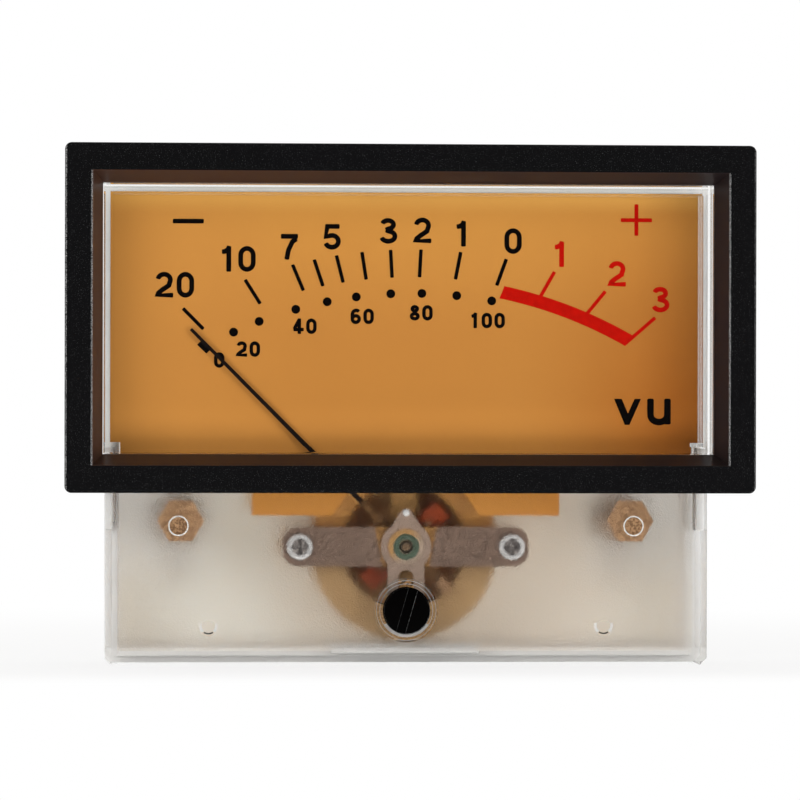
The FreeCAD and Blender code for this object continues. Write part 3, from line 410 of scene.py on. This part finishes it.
def knob_paint():
    """Glossy black; the edges of the slot carry a patchy painted highlight, stronger on one side."""
    paint = Paint("black_knob", (0.0012, 0.001, 0.001), 0.22, Specular_IOR_Level=0.05)
    x, y, z = paint.axis("X"), paint.axis("Y"), paint.axis("Z")
    tilt = math.radians(SLOT_TILT)
    across = paint.math("SUBTRACT", paint.math("MULTIPLY", x, math.cos(tilt)),
                        paint.math("MULTIPLY", paint.math("SUBTRACT", z, ZERO_Z), math.sin(tilt)))
    off = paint.math("ABSOLUTE", paint.math("SUBTRACT", paint.math("ABSOLUTE", across), SLOT_HALF))
    # A painted highlight along the edges of the slot, brighter on one side.
    line = paint.product(paint.ramp(off, 0.03, 0.09, 1, 0), paint.below(y, 0.25),
                         paint.ramp(across, -0.3, 0.3, 0.35, 1))
    patchy_glint = paint.ramp(paint.noise(0.35, 2), 0.42, 0.6, 0.15, 1)
    paint.colour(paint.mix(paint.product(line, patchy_glint), (0.0012, 0.001, 0.001), (0.12, 0.12, 0.12)))
    return paint.bump(paint.noise(0.2, 2), 0.001)


def bridge_paint():
    """Dull plated strip with a gold middle; what lies behind it is speckled gold, and deep inside a bright
    gold that is painted brighter still as painted light.
    """
    paint = metal_paint("bridge_metal", (0.30, 0.195, 0.145), 0.45, 0.2, 0.02, 0.3, dark=(0.13, 0.083, 0.059))
    y = paint.axis("Y")
    mottle = paint.ramp(paint.noise(0.5, 2), 0.42, 0.58, 0, 1)
    lean = paint.math("MULTIPLY", paint.axis("Z"), 0.2)
    middle = paint.below(paint.math("SUBTRACT", paint.aside(), lean), 4.0)
    strip = paint.mix(middle, paint.coloured(), paint.mix(mottle, (0.50, 0.25, 0.07), (0.24, 0.115, 0.035)))
    holder = paint.mix(mottle, (0.75, 0.40, 0.12), (0.13, 0.062, 0.022))
    # The frame deep inside: bright gold, raised further as painted light where little light reaches.
    deep = paint.mix(mottle, (0.99, 0.68, 0.30), (0.90, 0.50, 0.19))
    gold = paint.mix(paint.above(y, FRAME_FRONT), holder, deep)
    return paint.colour(paint.mix(paint.above(y, HOLDER_FRONT), strip, gold))


CARRIER_R = 8.2          # the needle's bare carrier ends here


def pointer_paint():
    """Matt black needle; its carrier near the axis is bare bronze."""
    paint = plastic_paint("pointer_black", (0.008, 0.005, 0.004), 0.6, 0.1, 0.002, Specular_IOR_Level=0.04)
    bronze = paint.mottled(0.4, (0.24, 0.12, 0.045), (0.10, 0.05, 0.02), 2.0, 0.4, 0.6)
    bare = paint.ramp(paint.away(), CARRIER_R, CARRIER_R + 1.4, 1, 0)
    return paint.colour(paint.mix(bare, paint.coloured(), bronze))


def yoke_paint():
    """Gold-coloured iron, deeper gold towards the top as a painted reflection of the dial."""
    paint = metal_paint("yoke_gold", (0.72, 0.46, 0.21), 0.4, 0.3, 0.02, 0.3, dark=(0.44, 0.25, 0.115))
    # Painted reflection of the dial towards the top.
    deep = paint.mottled(0.4, (0.92, 0.46, 0.12), (0.47, 0.19, 0.05))
    return paint.colour(paint.mix(paint.ramp(paint.axis("Z"), -3.0, 3.0, 0, 1), paint.coloured(), deep))


BUSH_R, BUSH_BACK = 2.74, 5.0


def brass_paint():
    """Speckled brass; the bush round the front bearing is grey-gold, and deeper gold at its upper left as
    painted light.
    """
    paint = metal_paint("brass", (0.60, 0.35, 0.18), 0.4, 0.3, 0.02, 0.3, dark=(0.26, 0.135, 0.065))
    bush = paint.product(paint.below(paint.away(), BUSH_R), paint.below(paint.axis("Y"), BUSH_BACK))
    # Painted light on the bush's upper left.
    lit_upper_left = paint.ramp(paint.math("SUBTRACT", paint.axis("Z"), paint.axis("X")), -1.5, 1.5, 0, 1)
    gold = paint.mix(lit_upper_left, (0.42, 0.31, 0.23), (0.50, 0.27, 0.10))
    return paint.colour(paint.mix(bush, paint.coloured(), gold))


def steel_paint():
    """Bright steel; the middles of the two screw heads in the front bridge are painted dark and mottled."""
    paint = metal_paint("bright_steel", (0.78, 0.76, 0.75), 0.25, 0.25, 0.03, 0.35)
    middle = paint.ramp(paint.away(BRIDGE_HEAD_X, mirrored=True), 1.0, 1.45, 1, 0, smooth=True)
    dark_middle = paint.product(middle, paint.below(paint.axis("Y"), 3.6))
    dark = paint.mottled(0.5, (0.12, 0.105, 0.10), (0.36, 0.32, 0.30), 2.0, 0.4, 0.6)
    return paint.colour(paint.mix(dark_middle, paint.coloured(), dark))


SHADE_X, SHADE_Z = 10.0, -4.0            # painted shade darkens the case's back round this point
SHADE_IN, SHADE_OUT = 14.0, 36.0


def case_paint():
    """Translucent off-white plastic; daylight comes through its walls. Inside it is painted warmer as warm
    bounce light, with painted shade round the movement and over the latch, and painted light towards the
    upper corners and on the floor's front end.
    """
    paint = Paint("case_cream", (0.87, 0.81, 0.74), 0.5, Subsurface_Scale=11 * MM,
                  Subsurface_Radius=(1.0, 0.92, 0.84))
    y, z, aside = paint.axis("Y"), paint.axis("Z"), paint.aside()
    wall = paint.ramp(aside, CASE_SIDE - 0.5, CASE_SIDE + 0.3, 0, 1)
    under = paint.ramp(z, CASE_FLOOR + 0.3, CASE_FLOOR - 0.1, 0, 1)
    outer = paint.math("MAXIMUM", paint.math("MAXIMUM", wall, under), paint.above(y, CASE_BACK + 0.3))
    cloud = paint.ramp(paint.noise(6, 2), 0.35, 0.65, 0, 1)
    # Painted warm bounce light on the inner faces.
    inner_light_and_shade = paint.mix(cloud, (0.98, 0.82, 0.69), (0.95, 0.79, 0.66))
    # Painted shade round the movement.
    painted_shade = paint.ramp(paint.away(SHADE_X, SHADE_Z), SHADE_IN, SHADE_OUT, 1, 0, smooth=True)
    inner_light_and_shade = paint.mix(painted_shade, inner_light_and_shade, (0.80, 0.66, 0.555))
    # Painted light towards the upper corners.
    corner = paint.product(paint.ramp(aside, 26, 38, 0, 1), paint.ramp(z, -7, 3, 0, 1))
    inner_light_and_shade = paint.mix(corner, inner_light_and_shade, (0.99, 0.91, 0.83))
    # Painted shade over the latch.
    latch_shade = paint.product(paint.below(aside, LATCH_HALF + 0.3), paint.below(y, SEAM + 0.3),
                          paint.below(z, CASE_FLOOR + 1.8))
    inner_light_and_shade = paint.mix(latch_shade, inner_light_and_shade, (0.74, 0.67, 0.60))
    pale = paint.mix(cloud, (0.83, 0.82, 0.80), (0.79, 0.775, 0.75))
    # The front end of the floor, seen through the skirt's foot, is less translucent and painted brighter as
    # painted light, most where it meets the seam.
    end = paint.product(under, paint.below(y, SEAM + 2.0))
    end_light = paint.mix(paint.above(y, SEAM - 1.0), (0.82, 0.805, 0.79), (0.98, 0.97, 0.96))
    pale = paint.mix(end, pale, end_light)
    paint.colour(paint.mix(outer, inner_light_and_shade, pale))
    paint.link(paint.ramp(end, 0, 1, 1.0, 0.1), paint.shader.inputs["Subsurface Weight"])
    return paint.bump(paint.noise(0.3, 2), 0.01)


def dial_paint():
    """Amber printed film with painted light and shade: paler upwards, at its foot and at its left, with a
    painted highlight along its top edge and painted shade at its lower right.
    """
    paint = Paint("dial_amber", (0.6, 0.28, 0.06), 0.6, Specular_IOR_Level=0.03)
    x, z = paint.axis("X"), paint.axis("Z")
    # Painted light: paler upwards.
    lit_upward = paint.ramp(z, 30, 50, 0, 1, smooth=True)
    base = paint.mix(lit_upward, (0.478, 0.20, 0.041), (0.575, 0.256, 0.052))
    # Painted light at the foot.
    foot = paint.ramp(z, 21, 17, 0, 1)
    base = paint.mix(foot, base, (0.54, 0.228, 0.048))
    # Painted light at the left.
    left = paint.ramp(x, -10, -44, 0, 0.6, smooth=True)
    base = paint.mix(left, base, (0.56, 0.245, 0.053))
    # Painted shade at the lower right.
    shaded_lower_right = paint.product(paint.ramp(x, 14, 44, 0, 1, smooth=True), paint.ramp(z, 22, 46, 1.0, 0.3))
    base = paint.mix(shaded_lower_right, base, (0.35, 0.105, 0.014))
    # Painted highlight along the top edge.
    top_highlight = paint.ramp(z, 48.6, 51.4, 0, 1, smooth=True)
    base = paint.mix(top_highlight, base, (0.68, 0.335, 0.075))
    cloud = paint.ramp(paint.noise(9, 2), 0.3, 0.7, 0, 0.12)
    paint.colour(paint.mix(cloud, base, (0.45, 0.18, 0.04)))
    return paint.bump(paint.noise(0.12, 2), 0.003)


MAGNET, MAGNET_DARK = (0.64, 0.29, 0.09), (0.11, 0.045, 0.017)
COPPER, COPPER_DARK = (0.42, 0.058, 0.006), (0.18, 0.023, 0.003)
LEVER, LEVER_DARK = (0.43, 0.305, 0.235), (0.31, 0.22, 0.17)
PAINTS = {
    "bezel_black": bezel_paint(),
    "clear_cover": cover_paint(),
    "case_white": case_paint(),
    "dial_face": dial_paint(),
    "bright_steel": steel_paint(),
    "bridge_metal": bridge_paint(),
    "brass_parts": brass_paint(),
    "yoke_iron": yoke_paint(),
    "magnet": metal_paint("magnet", MAGNET, 0.5, 0.8, 0.03, 0.2, dark=MAGNET_DARK),
    "copper_wire": metal_paint("copper_wire", COPPER, 0.5, 0.08, 0.01, 0.2, dark=COPPER_DARK),
    "jewel_red": Paint("jewel_red", (0.35, 0.02, 0.05), 0.08),
    "spring_bronze": metal_paint("spring_bronze", (0.50, 0.33, 0.18), 0.25, 0.05, 0.001),
    "insulation": plastic_paint("insulation", (0.16, 0.06, 0.02), 0.6),
    "black_knob": knob_paint(),
    "pointer_black": pointer_paint(),
    "lever_metal": metal_paint("lever_metal", LEVER, 0.4, 0.2, 0.01, 0.3, dark=LEVER_DARK),
    "lead_enamel": metal_paint("lead_enamel", (0.45, 0.22, 0.09), 0.3, 0.1, 0.002),
    "board_green": plastic_paint("board_green", (0.03, 0.14, 0.05), 0.4),
    "led_lens": plastic_paint("led_lens", (0.85, 0.72, 0.28), 0.25),
    "aluminium_foil": metal_paint("aluminium_foil", (0.66, 0.66, 0.66), 0.3, 0.1, 0.002),
}
SLOTS = {row["node"]: row["material_slot"] for row in frame["record"]["subparts"]}
for node, obj in frame["nodes"].items():
    obj.data.materials.clear()
    obj.data.materials.append(PAINTS[SLOTS[node]].material)

# The moulded pieces get softened edges.
for node in ("bezel", "front_cover", "zero_screw"):
    bevel = frame["nodes"][node].modifiers.new("edges", "BEVEL")
    bevel.width = 0.1 * MM
    bevel.segments = 2
    bevel.limit_method = "ANGLE"
    bevel.angle_limit = math.radians(40)

# ---- The dial's print, in the dial's plane ----
PRINT_CENTRE = Vector((-0.05, 1.94))     # where the marks point to
ARC_CENTRE = Vector((0.99, -25.73))      # centre of the scale arcs
DOT_ARC, TICK_IN, TICK_OUT = 62.95, 65.3, 69.4
DOT_R = 0.655
BAND_IN, BAND_OUT = 63.53, 65.45
TICK_W = 0.54
PRINT_FRONT = DIAL_FRONT - 0.02
PRINT_BACK = DIAL_FRONT + 0.01
LAYER = 0.003            # step between strokes that cross
BLACK_TICKS = (-44.8, -32.45, -22.95, -18.6, -14.1, -8.95, -3.15, 3.0, 11.0, 20.1)
RED_TICKS = (29.6, 39.5, 49.15)
DOTS = (-40.63, -34.75, -26.24, -18.82, -11.9, -3.65, 3.78, 12.05, 20.25)
BAND_FROM, BAND_TO = 21.7, 49.5
BLOCK_AT, BLOCK_TURN = Vector((-29.6, 29.35)), 46.0
BLOCK_W, BLOCK_H = 0.6, 0.95             # half its width and height
MINUS, MINUS_W = ((-34.3, 47.67), (-29.75, 47.67)), 0.68
PLUS_X, PLUS_Z, PLUS_W = 33.92, 48.1, 0.59
PLUS_LEFT, PLUS_RIGHT, PLUS_LOW, PLUS_HIGH = 31.60, 36.24, 45.8, 50.45


def on_arc(angle, radius):
    """Where the mark at this angle crosses the arc of this radius."""
    a = math.radians(angle)
    u = Vector((math.sin(a), math.cos(a)))
    w = PRINT_CENTRE - ARC_CENTRE
    b = w.dot(u)
    return PRINT_CENTRE + u * (-b + math.sqrt(b * b - w.length_squared + radius * radius))


def arc(cx, cy, rx, ry, start, end, steps=14):
    """Points of an elliptic arc; 0 is right and 90 is up."""
    return [(cx + rx * math.cos(math.radians(start + (end - start) * i / steps)),
             cy + ry * math.sin(math.radians(start + (end - start) * i / steps))) for i in range(steps + 1)]


def glyph(char, w):
    """The strokes of a character one unit high, as (path, closed), with its width."""
    h = w / 2
    if char == "0":
        ring = arc(0.34, 0.64, 0.34 - h, 0.36 - h, 0, 180) + arc(0.34, 0.36, 0.34 - h, 0.36 - h, 180, 360)
        return [(ring, True)], 0.68
    if char == "1":
        flag = [(0.0, 0.775), (0.10, 0.785), (0.22, 0.86), (0.262, 1)]
        return [([(0.34 - h, 0), (0.34 - h, 1)], False), (flag, False)], 0.36
    if char == "2":
        top = arc(0.33, 0.69, 0.32 - h, 0.31 - h, 172, -28, 18)
        return [(top + [(0.50, 0.47), (0.26, 0.30), (0.115, 0.17), (0.075, h), (0.66, h)], False)], 0.66
    if char == "3":
        top = arc(0.32, 0.745, 0.29 - h, 0.255 - h, 168, -78, 16)
        low = arc(0.33, 0.29, 0.33 - h, 0.29 - h, 80, -166, 18)
        return [(top + [(0.24, 0.535)], False), ([(0.24, 0.535)] + low, False)], 0.66
    if char == "4":
        stem = 0.51 - h
        return [([(stem, 0), (stem, 1)], False), ([(stem, 0.93), (0.06, 0.30)], False),
                ([(0.01, 0.285), (0.68, 0.285)], False)], 0.68
    if char == "5":
        bowl = arc(0.33, 0.325, 0.33 - h, 0.325 - h, 128, -162, 20)
        return [([(0.61, 1 - h), (0.165, 1 - h), (0.105, 0.50)] + bowl[1:], False)], 0.66
    if char == "6":
        bowl = arc(0.345, 0.325, 0.335 - h, 0.325 - h, 0, 360, 24)[:-1]
        back = arc(0.37, 0.62, 0.36 - h, 0.38 - h, 42, 180, 12)
        return [(bowl, True), (back + [(0.01 + h, 0.42), (0.012 + h, 0.33)], False)], 0.68
    if char == "7":
        return [([(0.0, 1 - h), (0.67, 1 - h)], False),
                ([(0.62, 1 - w), (0.45, 0.70), (0.30, 0.38), (0.225, 0)], False)], 0.67
    top = arc(0.33, 0.755, 0.275 - h, 0.245 - h, 0, 360, 24)[:-1]
    low = arc(0.33, 0.28, 0.325 - h, 0.28 - h, 0, 360, 24)[:-1]
    return [(top, True), (low, True)], 0.66


STRETCH = {"1": 1.1, "2": 1.07, "3": 1.12, "5": 1.08}    # digits that are wider than the others' pattern
AFTER_ONE = 0.11                                         # the narrow digit gets more room behind it


def write(bm, text, centre, height, weight, gap):
    """Digits centred on a point of the dial; crossing strokes lie a hair apart."""
    parts = [(*glyph(char, weight), STRETCH.get(char, 1.0)) for char in text]
    spaces = [gap + (AFTER_ONE if char == "1" else 0) for char in text[:-1]] + [0]
    x = -(sum(width * wide for _, width, wide in parts) + sum(spaces)) / 2
    for (strokes, width, wide), space in zip(parts, spaces):
        for layer, (path, closed) in enumerate(strokes):
            points = [(centre[0] + (x + px * wide) * height, centre[1] + (py - 0.5) * height)
                      for px, py in path]
            ribbon(bm, points, weight * height, PRINT_FRONT - LAYER * layer, PRINT_BACK, closed)
        x += width * wide + space


BIG, BIG_WEIGHT, BIG_GAP = 3.77, 0.19, 0.13
SMALL, SMALL_WEIGHT, SMALL_GAP = 2.28, 0.23, 0.15
BLACK_BIG = {"20": (-34.0, 38.35), "10": (-24.62, 42.17), "7": (-17.2, 43.98), "5": (-10.97, 45.46),
             "3": (-2.70, 46.37), "2": (2.33, 46.46), "1": (8.12, 46.0), "0": (15.7, 44.95)}
BLACK_SMALL = {"0": (-27.45, 27.35), "20": (-23.22, 28.96), "40": (-14.9, 32.34), "60": (-6.5, 33.81),
               "80": (2.18, 34.36), "100": (12.05, 33.26)}
RED_BIG = {"1": (22.6, 43.05), "2": (31.05, 40.18), "3": (37.5, 36.42)}
LETTER_V = ((30.66, 21.8), (31.81, 21.8), (32.73, 19.65), (33.71, 21.8), (34.66, 21.8), (32.96, 17.95),
            (32.26, 17.95))
U_LEFT, U_RIGHT, U_TOP, U_FOOT, U_STEM = 35.57, 39.07, 21.83, 18.03, 0.98
U_BOWL_Z, U_BOWL_DEEP = 19.48, 1.1


def zero_block():
    """The corners of the tilted block that marks 0 %."""
    turn = math.radians(BLOCK_TURN)
    along = Vector((math.cos(turn), math.sin(turn))) * BLOCK_W
    across = Vector((-math.sin(turn), math.cos(turn))) * BLOCK_H
    return [BLOCK_AT + along * i + across * j for i, j in ((-1, -1), (1, -1), (1, 1), (-1, 1))]


def black_print(bm):
    """Marks, dots, digits, the minus sign and the letters."""
    for angle in BLACK_TICKS:
        ribbon(bm, [on_arc(angle, TICK_IN), on_arc(angle, TICK_OUT)], TICK_W, PRINT_FRONT, PRINT_BACK)
    for angle in DOTS:
        c = on_arc(angle, DOT_ARC)
        prism(bm, arc(c.x, c.y, DOT_R, DOT_R, 0, 345, 23), PRINT_FRONT, PRINT_BACK)
    prism(bm, zero_block(), PRINT_FRONT, PRINT_BACK)
    for text, centre in BLACK_BIG.items():
        write(bm, text, centre, BIG, BIG_WEIGHT, BIG_GAP)
    for text, centre in BLACK_SMALL.items():
        write(bm, text, centre, SMALL, SMALL_WEIGHT, SMALL_GAP)
    ribbon(bm, MINUS, MINUS_W, PRINT_FRONT, PRINT_BACK)
    prism(bm, LETTER_V, PRINT_FRONT, PRINT_BACK)
    left, right = U_LEFT + U_STEM / 2, U_RIGHT - U_STEM / 2
    bowl = arc((left + right) / 2, U_BOWL_Z, (right - left) / 2, U_BOWL_DEEP, 180, 345, 16)
    ribbon(bm, [(left, U_TOP)] + bowl, U_STEM, PRINT_FRONT, PRINT_BACK)
    ribbon(bm, [(right, U_TOP), (right, U_FOOT)], U_STEM, PRINT_FRONT - LAYER, PRINT_BACK)


def red_print(bm):
    """The overload band with its marks and digits, and the plus sign."""
    for angle in RED_TICKS:
        ribbon(bm, [on_arc(angle, BAND_OUT - 0.3), on_arc(angle, TICK_OUT)], TICK_W, PRINT_FRONT, PRINT_BACK)
    steps = 40
    angles = [BAND_FROM + (BAND_TO - BAND_FROM) * i / steps for i in range(steps + 1)]
    outline = [on_arc(a, BAND_IN) for a in angles] + [on_arc(a, BAND_OUT) for a in reversed(angles)]
    prism(bm, [(p.x, p.y) for p in outline], PRINT_FRONT - LAYER, PRINT_BACK)
    for text, centre in RED_BIG.items():
        write(bm, text, centre, BIG, BIG_WEIGHT, BIG_GAP)
    ribbon(bm, [(PLUS_LEFT, PLUS_Z), (PLUS_RIGHT, PLUS_Z)], PLUS_W, PRINT_FRONT, PRINT_BACK)
    ribbon(bm, [(PLUS_X, PLUS_LOW), (PLUS_X, PLUS_HIGH)], PLUS_W, PRINT_FRONT - LAYER, PRINT_BACK)


black_ink = plastic_paint("print_black", (0.0012, 0.0005, 0.0004), 0.6, 0.1, 0.001, Specular_IOR_Level=0.03)
red_ink = plastic_paint("print_red", (0.47, 0.004, 0.0005), 0.6, 0.1, 0.001, Specular_IOR_Level=0.03)
piece("dial_print_black", black_print, "housing", black_ink.material, 0)
piece("dial_print_red", red_print, "housing", red_ink.material, 0)


# ---- Lock paint and solder ----
def lock_paint(bm):
    """A collar of green paint round the bearing screw's head."""
    lathe(bm, [(1.02, 2.95), (1.05, 2.74), (1.4, 2.66), (1.85, 2.70), (2.0, 2.80), (1.9, 2.95)], 0, 0)


lock_green = plastic_paint("lock_green", (0.068, 0.10, 0.065), 0.35, 0.3, 0.02)
piece("lock_paint", lock_paint, "housing", lock_green.material, 60)


def lock_core_paint():
    """Brown in the middle of the bearing screw's socket, black towards its edge."""
    paint = plastic_paint("lock_dark", (0.02, 0.014, 0.009), 0.4, 0.3, 0.02)
    outward = paint.ramp(paint.away_squared(), 0.2, 0.45, 0, 1)
    return paint.colour(paint.mix(outward, (0.15, 0.09, 0.045), (0.018, 0.013, 0.008)))


SOCKET_R, SOCKET_FRONT, SOCKET_BACK = 0.97, 3.05, 3.3


def lock_core(bm):
    prism(bm, arc(0, 0, SOCKET_R, SOCKET_R, 0, 345, 23), SOCKET_FRONT, SOCKET_BACK)


piece("lock_core", lock_core, "housing", lock_core_paint().material, 0)


PIN_X, PIN_Z, PIN_R = 33.4, 3.1, 1.4
LOW_X, LOW_Z, LOW_R = 29.0, -11.45, 1.2
MARK_FRONT, MARK_BACK = 1.70, 1.84       # across the skirt's inner face


def mark_rings(bm):
    """The fine raised edge of each pin mark inside the skirt, coloured white as a painted highlight."""
    inner, outer = PIN_R - 0.1, PIN_R + 0.1
    profile = [(inner, MARK_FRONT), (outer, MARK_FRONT), (outer, MARK_BACK), (PIN_R, MARK_BACK + 0.04),
               (inner, MARK_BACK)]
    for side in SIDES:
        lathe(bm, profile, side * PIN_X, PIN_Z)


def low_arcs(bm, start, end, width):
    """An arc of each of the two lower marks."""
    for side in SIDES:
        path = arc(side * LOW_X, LOW_Z, LOW_R, LOW_R, start, end, 12)
        ribbon(bm, path, width, MARK_FRONT, MARK_BACK)


def low_marks(bm):
    """The lit sides of the two lower marks."""
    low_arcs(bm, 165, 230, 0.40)
    low_arcs(bm, 310, 375, 0.40)


def low_shades(bm):
    """The shaded foot of the two lower marks."""
    low_arcs(bm, 236, 304, 0.22)


RING_FRONT, RING_BACK = 2.62, 2.70       # across the boss's face


def boss_glints(bm):
    """Painted highlights on the polished edges of the boss round the zero adjuster, with a painted reflection
    as a crescent at its foot.
    """
    for radius, half in ((3.9, 0.04), (4.38, 0.035)):
        inner, outer = radius - half, radius + half
        profile = [(inner, RING_FRONT), (outer, RING_FRONT), (outer, RING_BACK), (inner, RING_BACK)]
        lathe(bm, profile, 0, ZERO_Z)
    crescent = arc(0, ZERO_Z, 3.84, 3.84, 212, 328, 24) + arc(0, ZERO_Z + 0.12, 3.50, 3.50, 325, 215, 24)
    prism(bm, crescent, RING_FRONT + 0.02, RING_BACK - 0.01)


# White rings of the pin marks and the boss: painted highlights.
mark_highlight = plastic_paint("mark_highlight", (0.76, 0.75, 0.73), 0.3, 0.1, 0.002)
low_white = plastic_paint("low_white", (0.97, 0.95, 0.93), 0.3, 0.1, 0.002)
low_dark = plastic_paint("low_dark", (0.08, 0.065, 0.05), 0.5, 0.1, 0.002)
piece("mark_rings", mark_rings, "housing", mark_highlight.material, 40)
piece("low_marks", low_marks, "housing", low_white.material, 0)
piece("low_shades", low_shades, "housing", low_dark.material, 0)
piece("boss_glints", boss_glints, "housing", mark_highlight.material, 0)


THREAD_FROM = edge("terminal_nuts", HIGH, "Y") + 0.1
THREAD_PITCH, THREAD_TURNS = 0.5, 13


def stud_threads(bm):
    """M3 thread ridges on the ends of the two studs, past the nuts."""
    for side in SIDES:
        for turn in range(THREAD_TURNS):
            y = THREAD_FROM + turn * THREAD_PITCH
            ridge = [(1.2, y), (1.5, y + 0.22), (1.5, y + 0.28), (1.2, y + THREAD_PITCH)]
            lathe(bm, ridge, side * STUD_X, STUD_Z, 24)


piece("stud_threads", stud_threads, "housing", PAINTS["brass_parts"].material, 20)


SOLDER_AT, SOLDER_HALF = (0.0, 2.95, 5.0), (0.5, 0.28, 0.5)


def solder_blob(bm):
    """Holds the front hairspring's end at the tip of the lever."""
    bmesh.ops.create_uvsphere(bm, u_segments=20, v_segments=12, radius=1.0)
    bmesh.ops.scale(bm, vec=SOLDER_HALF, verts=bm.verts)
    bmesh.ops.translate(bm, vec=SOLDER_AT, verts=bm.verts)


solder = metal_paint("solder", (0.96, 0.95, 0.94), 0.22, 0.3, 0.01, 0.1)
piece("spring_solder", solder_blob, "zero_lever", solder.material, 60)

# ---- Studio ----
FLOOR_Z = cad_box[0][2] / MM
FLOOR_REACH = 300.0
FLOOR_FRONT = -50.0
FLOOR_GLOW = 0.8         # the white share near the object; the rest keeps its shadow
SHADOW_NEAR, SHADOW_FAR = 60, 220


def stage_floor(name, material):
    """The floor under and behind the object; it stops short in front so that the black parts stay black."""
    mesh = bpy.data.meshes.new(name)
    corners = ((-FLOOR_REACH, FLOOR_FRONT), (FLOOR_REACH, FLOOR_FRONT),
               (FLOOR_REACH, FLOOR_REACH), (-FLOOR_REACH, FLOOR_REACH))
    mesh.from_pydata([(x * MM, y * MM, FLOOR_Z * MM) for x, y in corners], [], [(0, 1, 2, 3)])
    obj = bpy.data.objects.new(name, mesh)
    scene.collection.objects.link(obj)
    mesh.materials.append(material)


def floor_paint():
    """Pale matt floor that the camera, metal and clear plastic see as white, with a soft shadow kept."""
    paint = Paint("floor", (0.9, 0.9, 0.9), 0.8)
    glow = paint.node("ShaderNodeEmission")
    glow.inputs["Color"].default_value = (1, 1, 1, 1)
    path = paint.node("ShaderNodeLightPath")
    bounced = paint.math("MAXIMUM", path.outputs["Is Glossy Ray"], path.outputs["Is Transmission Ray"])
    seen = paint.math("MAXIMUM", path.outputs["Is Camera Ray"], bounced)
    reach = paint.node("ShaderNodeVectorMath", operation="LENGTH")
    paint.link(paint.place(), reach.inputs[0])
    far = paint.ramp(reach.outputs["Value"], SHADOW_NEAR, SHADOW_FAR, FLOOR_GLOW, 1.0, smooth=True)
    front = paint.ramp(paint.axis("Y"), FLOOR_FRONT, FLOOR_FRONT + 35, 1.0, FLOOR_GLOW, smooth=True)
    paint.swap(paint.product(seen, paint.math("MAXIMUM", far, front)), glow)
    return paint.material


stage_floor("floor", floor_paint())

world = bpy.data.worlds.new("studio")
scene.world = world
world.use_nodes = True
tree = world.node_tree


def world_math(operation, a, b):
    """A math node of the world's, fed by a socket and by a second one or a number."""
    node = tree.nodes.new("ShaderNodeMath")
    node.operation = operation
    tree.links.new(a, node.inputs[0])
    if isinstance(b, float):
        node.inputs[1].default_value = b
    else:
        tree.links.new(b, node.inputs[1])
    return node.outputs[0]


def sky_strength(to_front, to_rest):
    """A strength that is low in front of the object and plain elsewhere."""
    heading = tree.nodes.new("ShaderNodeTexCoord")
    split = tree.nodes.new("ShaderNodeSeparateXYZ")
    ramp = tree.nodes.new("ShaderNodeMapRange")
    for key, number in (("From Min", -0.85), ("From Max", -0.30), ("To Min", to_front), ("To Max", to_rest)):
        ramp.inputs[key].default_value = number
    tree.links.new(heading.outputs["Generated"], split.inputs[0])
    tree.links.new(split.outputs["Y"], ramp.inputs["Value"])
    return ramp.outputs["Result"]


sky = tree.nodes["Background"]
sky.inputs["Color"].default_value = (1.0, 0.985, 0.965, 1)
tree.links.new(sky_strength(0.03, 0.85), sky.inputs["Strength"])
white = tree.nodes.new("ShaderNodeBackground")
white.inputs["Color"].default_value = (1, 1, 1, 1)
white.inputs["Strength"].default_value = 1.0
path = tree.nodes.new("ShaderNodeLightPath")
# A ray that was mirrored inside the clear plastic doesn't see the white.
unmirrored = world_math("LESS_THAN", path.outputs["Glossy Depth"], 0.5)
straight = world_math("MULTIPLY", path.outputs["Is Transmission Ray"], unmirrored)
both = tree.nodes.new("ShaderNodeMixShader")
tree.links.new(world_math("MAXIMUM", path.outputs["Is Camera Ray"], straight), both.inputs[0])
tree.links.new(sky.outputs[0], both.inputs[1])
tree.links.new(white.outputs[0], both.inputs[2])
tree.links.new(both.outputs[0], tree.nodes["World Output"].inputs["Surface"])


LAMPS_AIM = Vector((0, 0, 20))


def softbox(name, place, width, height, power):
    light = bpy.data.lights.new(name, "AREA")
    light.shape = "RECTANGLE"
    light.size, light.size_y = width * MM, height * MM
    light.energy = power
    obj = bpy.data.objects.new(name, light)
    scene.collection.objects.link(obj)
    obj.location = Vector(place) * MM
    aim = LAMPS_AIM * MM - obj.location
    obj.rotation_euler = aim.to_track_quat("-Z", "Y").to_euler()
    obj.visible_glossy = obj.visible_transmission = False     # neither face of the window mirrors the lamps


softbox("key_right", (500, -800, -20), 400, 500, 4.4)
softbox("fill_left", (-500, -760, 200), 400, 500, 2.8)
softbox("top", (0, -700, 460), 800, 300, 0.9)
softbox("low", (-100, -800, -280), 800, 200, 3.8)

# ---- Camera ----
VIEW_AT = Vector((-1.75, -10.0, 21.55)) * MM
SIDE_STEP = 0.065        # the camera stands this far to the left for each unit of distance
DISTANCE = 700 * MM
ROLL = 0.0022            # in radians
LENS = 219.0
camera = bpy.data.cameras.new("camera")
camera.lens = LENS
camera.sensor_width = 36
camera.clip_start = 0.01
eye = bpy.data.objects.new("camera", camera)
scene.collection.objects.link(eye)
eye.location = VIEW_AT - Vector((SIDE_STEP, 1, 0)) * DISTANCE
level = (VIEW_AT - eye.location).to_track_quat("-Z", "Y")
eye.rotation_euler = (level @ Matrix.Rotation(ROLL, 3, "Z").to_quaternion()).to_euler()
scene.camera = eye
